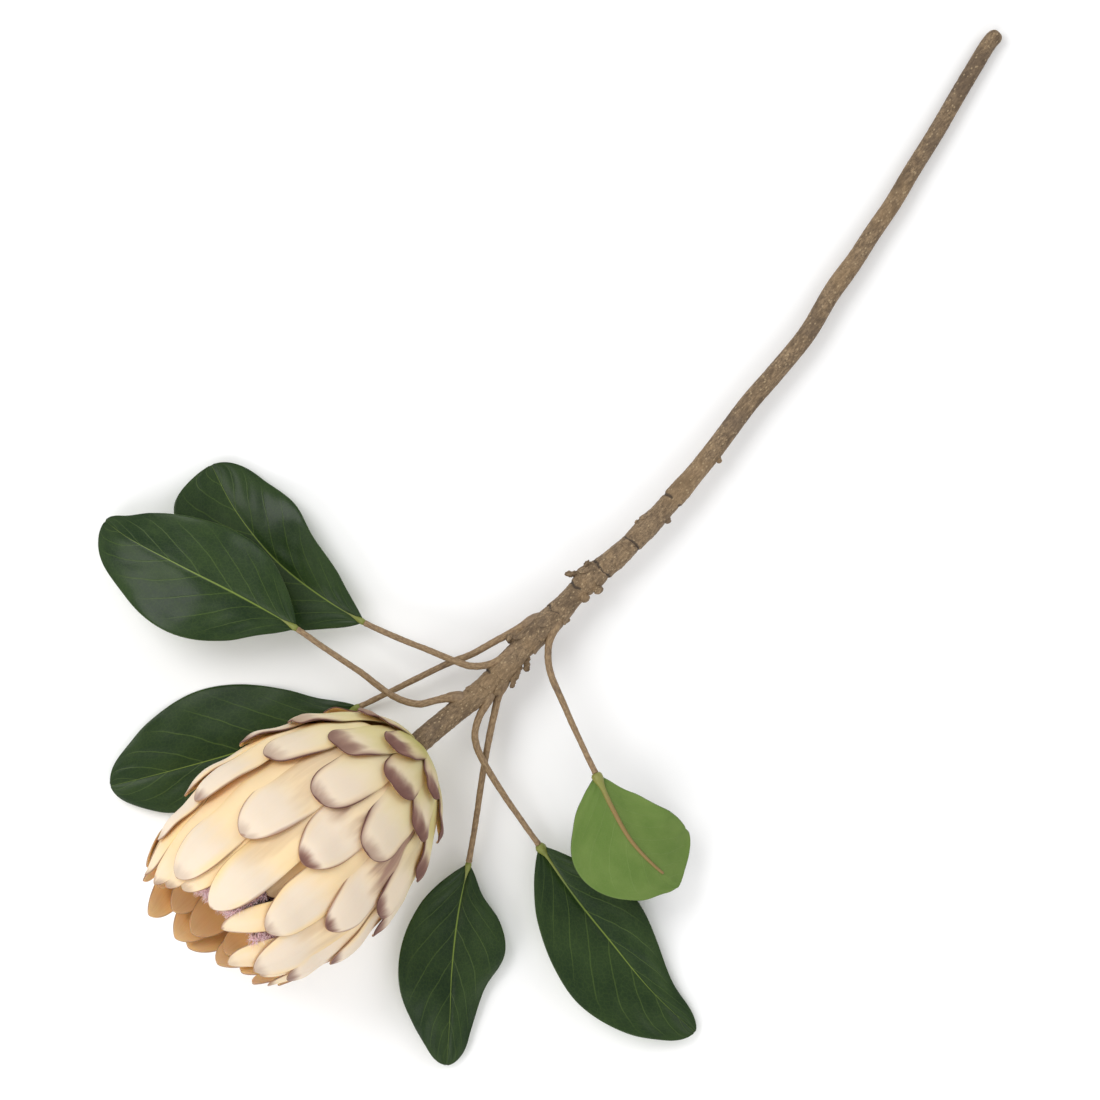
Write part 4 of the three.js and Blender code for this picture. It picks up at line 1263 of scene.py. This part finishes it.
# %% Shape the blades
BLADE_GRID = (30, 64)
VEIN_PAIRS = 8
VEIN_SWEEP = 0.34
QUILT, DENTS, GROOVE, EDGE_DROP = 0.30, 1.5, 0.9, 1.1  # heights in mm


def leaf_sides(leaf, distance, v):
    """The blade's own side and upper directions, rolled round the midrib."""
    _, right, up = leaf["line"].sides(distance)
    roll = np.radians(leaf["roll"][0] + (leaf["roll"][1] - leaf["roll"][0]) * v)[:, None]
    return right * np.cos(roll) + up * np.sin(roll), up * np.cos(roll) - right * np.sin(roll)


def half_width(widths, v):
    """One side's half width at v: the listed widths joined by a smooth line, with round ends."""
    at = np.array(WIDTH_AT)
    full = np.array(widths) / np.sqrt(at * (1 - at))
    slopes = np.concatenate([[0], (full[2:] - full[:-2]) / (at[2:] - at[:-2]), [0]])
    x = np.clip(v, at[0], at[-1])
    i = np.clip(np.searchsorted(at, x) - 1, 0, len(at) - 2)
    span = np.diff(at)[i]
    joined = join_smoothly((x - at[i]) / span, full[i], full[i + 1],
                           span * slopes[i], span * slopes[i + 1])
    v = np.clip(v, 0.002, 0.999)
    return np.maximum(joined * np.sqrt(v * (1 - v)), 1.2)


def blade(leaf, number):
    line = leaf["line"]
    start = leaf["joint"] + BLADE_START
    wedge = leaf["joint"] + WEDGE_START
    wedge_end = start + (line.length - start) * WIDTH_AT[0]

    def place(u, v):
        v = 0.5 * v + 0.25 * (1 - np.cos(math.pi * v))  # rows crowd where the outline turns
        signed = 2 * u - 1
        out = np.abs(signed)
        distance = wedge + (line.length - wedge) * v
        v = np.clip((distance - start) / (line.length - start), 0, 1)
        side, face = leaf_sides(leaf, distance, v)
        listed = np.maximum(v, WIDTH_AT[0])
        half = np.where(signed > 0, half_width(leaf["right"], listed),
                        half_width(leaf["left"], listed))
        half = 0.8 + (half - 0.8) * np.clip((distance - wedge) / (wedge_end - wedge), 0, 1) ** 0.8
        width = half / np.where(signed > 0, max(leaf["right"]), max(leaf["left"]))
        across = signed * half
        phase = 2 * math.pi * (leaf["waves"] * v + leaf["shift"]) + np.where(signed > 0, 0, 1.9)
        fold = leaf["fold"] * np.abs(across) + leaf["wave"] * out**2 * np.sin(phase) * width
        beat = (v - VEIN_SWEEP * out) * VEIN_PAIRS
        quilt = QUILT * np.sin(math.pi * np.mod(beat, 1)) * np.sin(math.pi * np.clip(out, 0, 1))
        dent = (rough_over(across, distance, (0.045, 0.03), number * 9.1)
                + 0.35 * rough_over(across, distance, (0.11, 0.06), number * 5.3))
        dent = DENTS * dent * np.clip(np.abs(across) / 7, 0, 1)
        groove = GROOVE * bump(across / 1.3) * (1 - 0.6 * v)
        height = fold + quilt + dent - groove - EDGE_DROP * out**7 * width
        return line.at(distance) + across[:, None] * side + height[:, None] * face

    return lay_grid(BLADE_GRID, place, seed=number)


print("widest:", [max(leaf["left"]) + max(leaf["right"]) for leaf in LEAVES], "mm")


# %% Raise the collar and the midrib under each blade
RIB_GRID = (12, 60)
RIB_RADIUS = 2.0
RIB_REACH = 0.82  # share of the blade that the raised rib runs along


def midrib(leaf, number):
    line = leaf["line"]
    start = leaf["joint"] - 0.3
    blade_from = leaf["joint"] + BLADE_START
    end = blade_from + (line.length - blade_from) * RIB_REACH

    def place(u, v):
        distance = start + (end - start) * v
        past = distance - start
        along_blade = np.clip((distance - blade_from) / (line.length - blade_from), 0, 1)
        side, face = leaf_sides(leaf, distance, along_blade)
        collar = leaf["collar"] * (bump((past - 3) / 3.5) + 0.5 - 0.3 * v)
        radius = RIB_RADIUS - 0.9 * smooth(past / 12) - 0.5 * v + collar
        radius = radius * (1 - 0.2 * smooth(1 - past / 1.2))
        turn = 2 * math.pi * u
        drop = (LEAF_THICKNESS + 0.9 * (1 - 0.6 * along_blade)) * smooth(past / 9)
        return (line.at(distance) + (radius * np.cos(turn))[:, None] * side
                + (-radius * np.sin(turn) - drop)[:, None] * face)

    tube = lay_grid(RIB_GRID, place, seed=number)
    close_tube()
    return tube


print("a midrib runs along", RIB_REACH, "of its blade")


# %% [markdown]
# ### Leaf finishes
#
# The upper side is a deep, glossy green, with a yellow-green midrib and faint paler veins.
# The underside is a light matt green, and its midrib is brown. Both sides share one finish,
# whose veins are the same group with the same sweep as the quilting in the mesh.

# %% Mix the leaf's greens


def leaf_finish(name, deep, bright, vein, rib, rib_share, vein_share, roughness, coat):
    finish = Finish(name)
    flat, read = placed(finish)
    patches = finish.grain(flat, (3.4, 4.6), 3, 0.55)
    veins = finish.group(veins_group, Across=read["Across"], Along=read["Along"], Waver=patches,
                         Pairs=VEIN_PAIRS, Sweep=VEIN_SWEEP)
    net = finish.node("TexVoronoi", {"feature": "DISTANCE_TO_EDGE"},
                      Vector=finish.stretch(flat, 34, 62), Scale=1.0).outputs["Distance"]
    net = finish.ramp(net, 0.0, 0.12, 1.0, 0.0)
    finish.ground(finish.ramp(patches, 0.3, 0.7), deep, bright)
    finish.brush(finish.ramp(read["Draw"], 0.2, 1.0), 0.25, bright)
    finish.brush(net, 0.10, vein)
    finish.brush(veins["Side Veins"], vein_share, vein)
    finish.brush(veins["Midrib"], rib_share, rib)
    edge = finish.ramp(read["Across"], 0.975, 1.0, 0.0, 0.5)
    finish.ground(edge, finish.colour, vein)
    raised = finish.plus(finish.times(veins["Side Veins"], 0.6), finish.times(net, 0.12))
    return finish.wear(finish.ramp(patches, 0.3, 0.7, roughness, roughness + 0.1),
                       finish.raised(raised, 0.35, 0.0004), Coat_Weight=coat, Coat_Roughness=0.2,
                       Specular_IOR_Level=0.18, Subsurface_Weight=0.05,
                       Subsurface_Radius=(0.001, 0.002, 0.0006))


def rib_finish(name, at_joint, beyond):
    finish = Finish(name)
    flat, read = placed(finish)
    fibres = finish.grain(flat, (8, 30), 3, 0.6)
    finish.ground(finish.ramp(read["Along"], 0.08, 0.34), at_joint, beyond)
    finish.brush(fibres, 0.3, (0.10, 0.07, 0.02))
    return finish.wear(0.5, finish.raised(fibres, 0.3, 0.0003))


# name, two greens, vein and rib colour, the rib's and the veins' share, roughness, coat
leaf_top = leaf_finish("leaf_top", (0.008, 0.023, 0.005), (0.020, 0.042, 0.009),
                       (0.085, 0.135, 0.025), (0.20, 0.27, 0.045), 0.9, 0.42, 0.33, 0.08)
leaf_under = leaf_finish("leaf_under", (0.095, 0.165, 0.030), (0.135, 0.205, 0.048),
                         (0.18, 0.25, 0.08), (0.13, 0.16, 0.05), 0.3, 0.25, 0.55, 0.0)
rib_green = rib_finish("midrib_green", (0.19, 0.22, 0.035), (0.12, 0.19, 0.04))
rib_brown = rib_finish("midrib_brown", (0.23, 0.24, 0.05), (0.26, 0.165, 0.05))
print("leaf finishes:", leaf_top.name, leaf_under.name, rib_green.name, rib_brown.name)

# %% Hang the leaves on their ribs
TURNED_LEAF = 6
for number, leaf in enumerate(LEAVES, 1):
    sheet = blade(leaf, number)
    thicken_leathery(sheet, LEAF_THICKNESS, leaf_top, leaf_under)
    rib = midrib(leaf, number)
    dress(rib, rib_brown if number == TURNED_LEAF else rib_green)
    whole = join_as(f"leaf_blade_{number}", [sheet, rib])
    put_in_place(whole, "leaf", f"leaf_{number}")

# %% [markdown]
# ## The leaf stalks
#
# Each stalk springs from a swollen foot on the stem, curves outwards and stays thin up to the
# green collar. It is the same rolled tube as the stem, along the first part of its leaf's line.
# Its bark is tan, with darker scuffs and fine lengthwise lines.

# %% Draw the stalks out
STALK_GRID = (16, 180)
STALK_RADIUS = 2.15
STALK_THINS_BY = 0.5
STALK_FOOT = 2.0


def stalk_finish():
    finish = Finish("stalk_bark")
    flat, read = placed(finish)
    fibres = finish.grain(flat, (14, 40), 4, 0.6)
    scuffs = finish.grain(finish.node("TexCoord").outputs["Object"], 110, 4, 0.6)
    finish.ground(finish.ramp(fibres, 0.3, 0.75), (0.165, 0.100, 0.050), (0.34, 0.235, 0.125))
    finish.brush(finish.ramp(scuffs, 0.56, 0.72), 0.7, (0.10, 0.062, 0.04))
    foot = finish.ramp(read["Along"], 0.0, 0.16, 0.75, 0.0)
    finish.ground(foot, finish.colour, (0.19, 0.135, 0.09))
    return finish.wear(0.68, finish.raised(fibres, 0.45, 0.0004))


def leaf_stalk(leaf, number):
    joint = leaf["joint"]

    def radius_at(d):
        body = STALK_RADIUS - STALK_THINS_BY * smooth(d / joint)
        foot = STALK_FOOT * bump((d - 7) / 7)
        knuckle = 0.25 * bump((d - joint) / 2.0)
        return body + foot + knuckle - 0.5 * smooth(1 - (joint - d) / 0.6)

    def skin(x, y, d):
        return (0.16 * rough(x * 1.6, y * 1.6, d * 0.11 + 7.7 * number)
                + 0.14 * rough(x * 4, y * 4, d * 0.4 + 3.1 * number))

    stalk = roll_tube(leaf["line"], 0, joint - 0.15, STALK_GRID, radius_at, skin, seed=number)
    stalk.name = f"leaf_stalk_{number}"
    return stalk


stalk_bark = stalk_finish()
for number, leaf in enumerate(LEAVES, 1):
    stalk = leaf_stalk(leaf, number)
    dress(stalk, stalk_bark)
    put_in_place(stalk, "leafstalk", f"leafstalk_{number}")

# %% [markdown]
# ## The finished flower and the solid model
#
# The two share one frame, so their sizes can be read side by side.
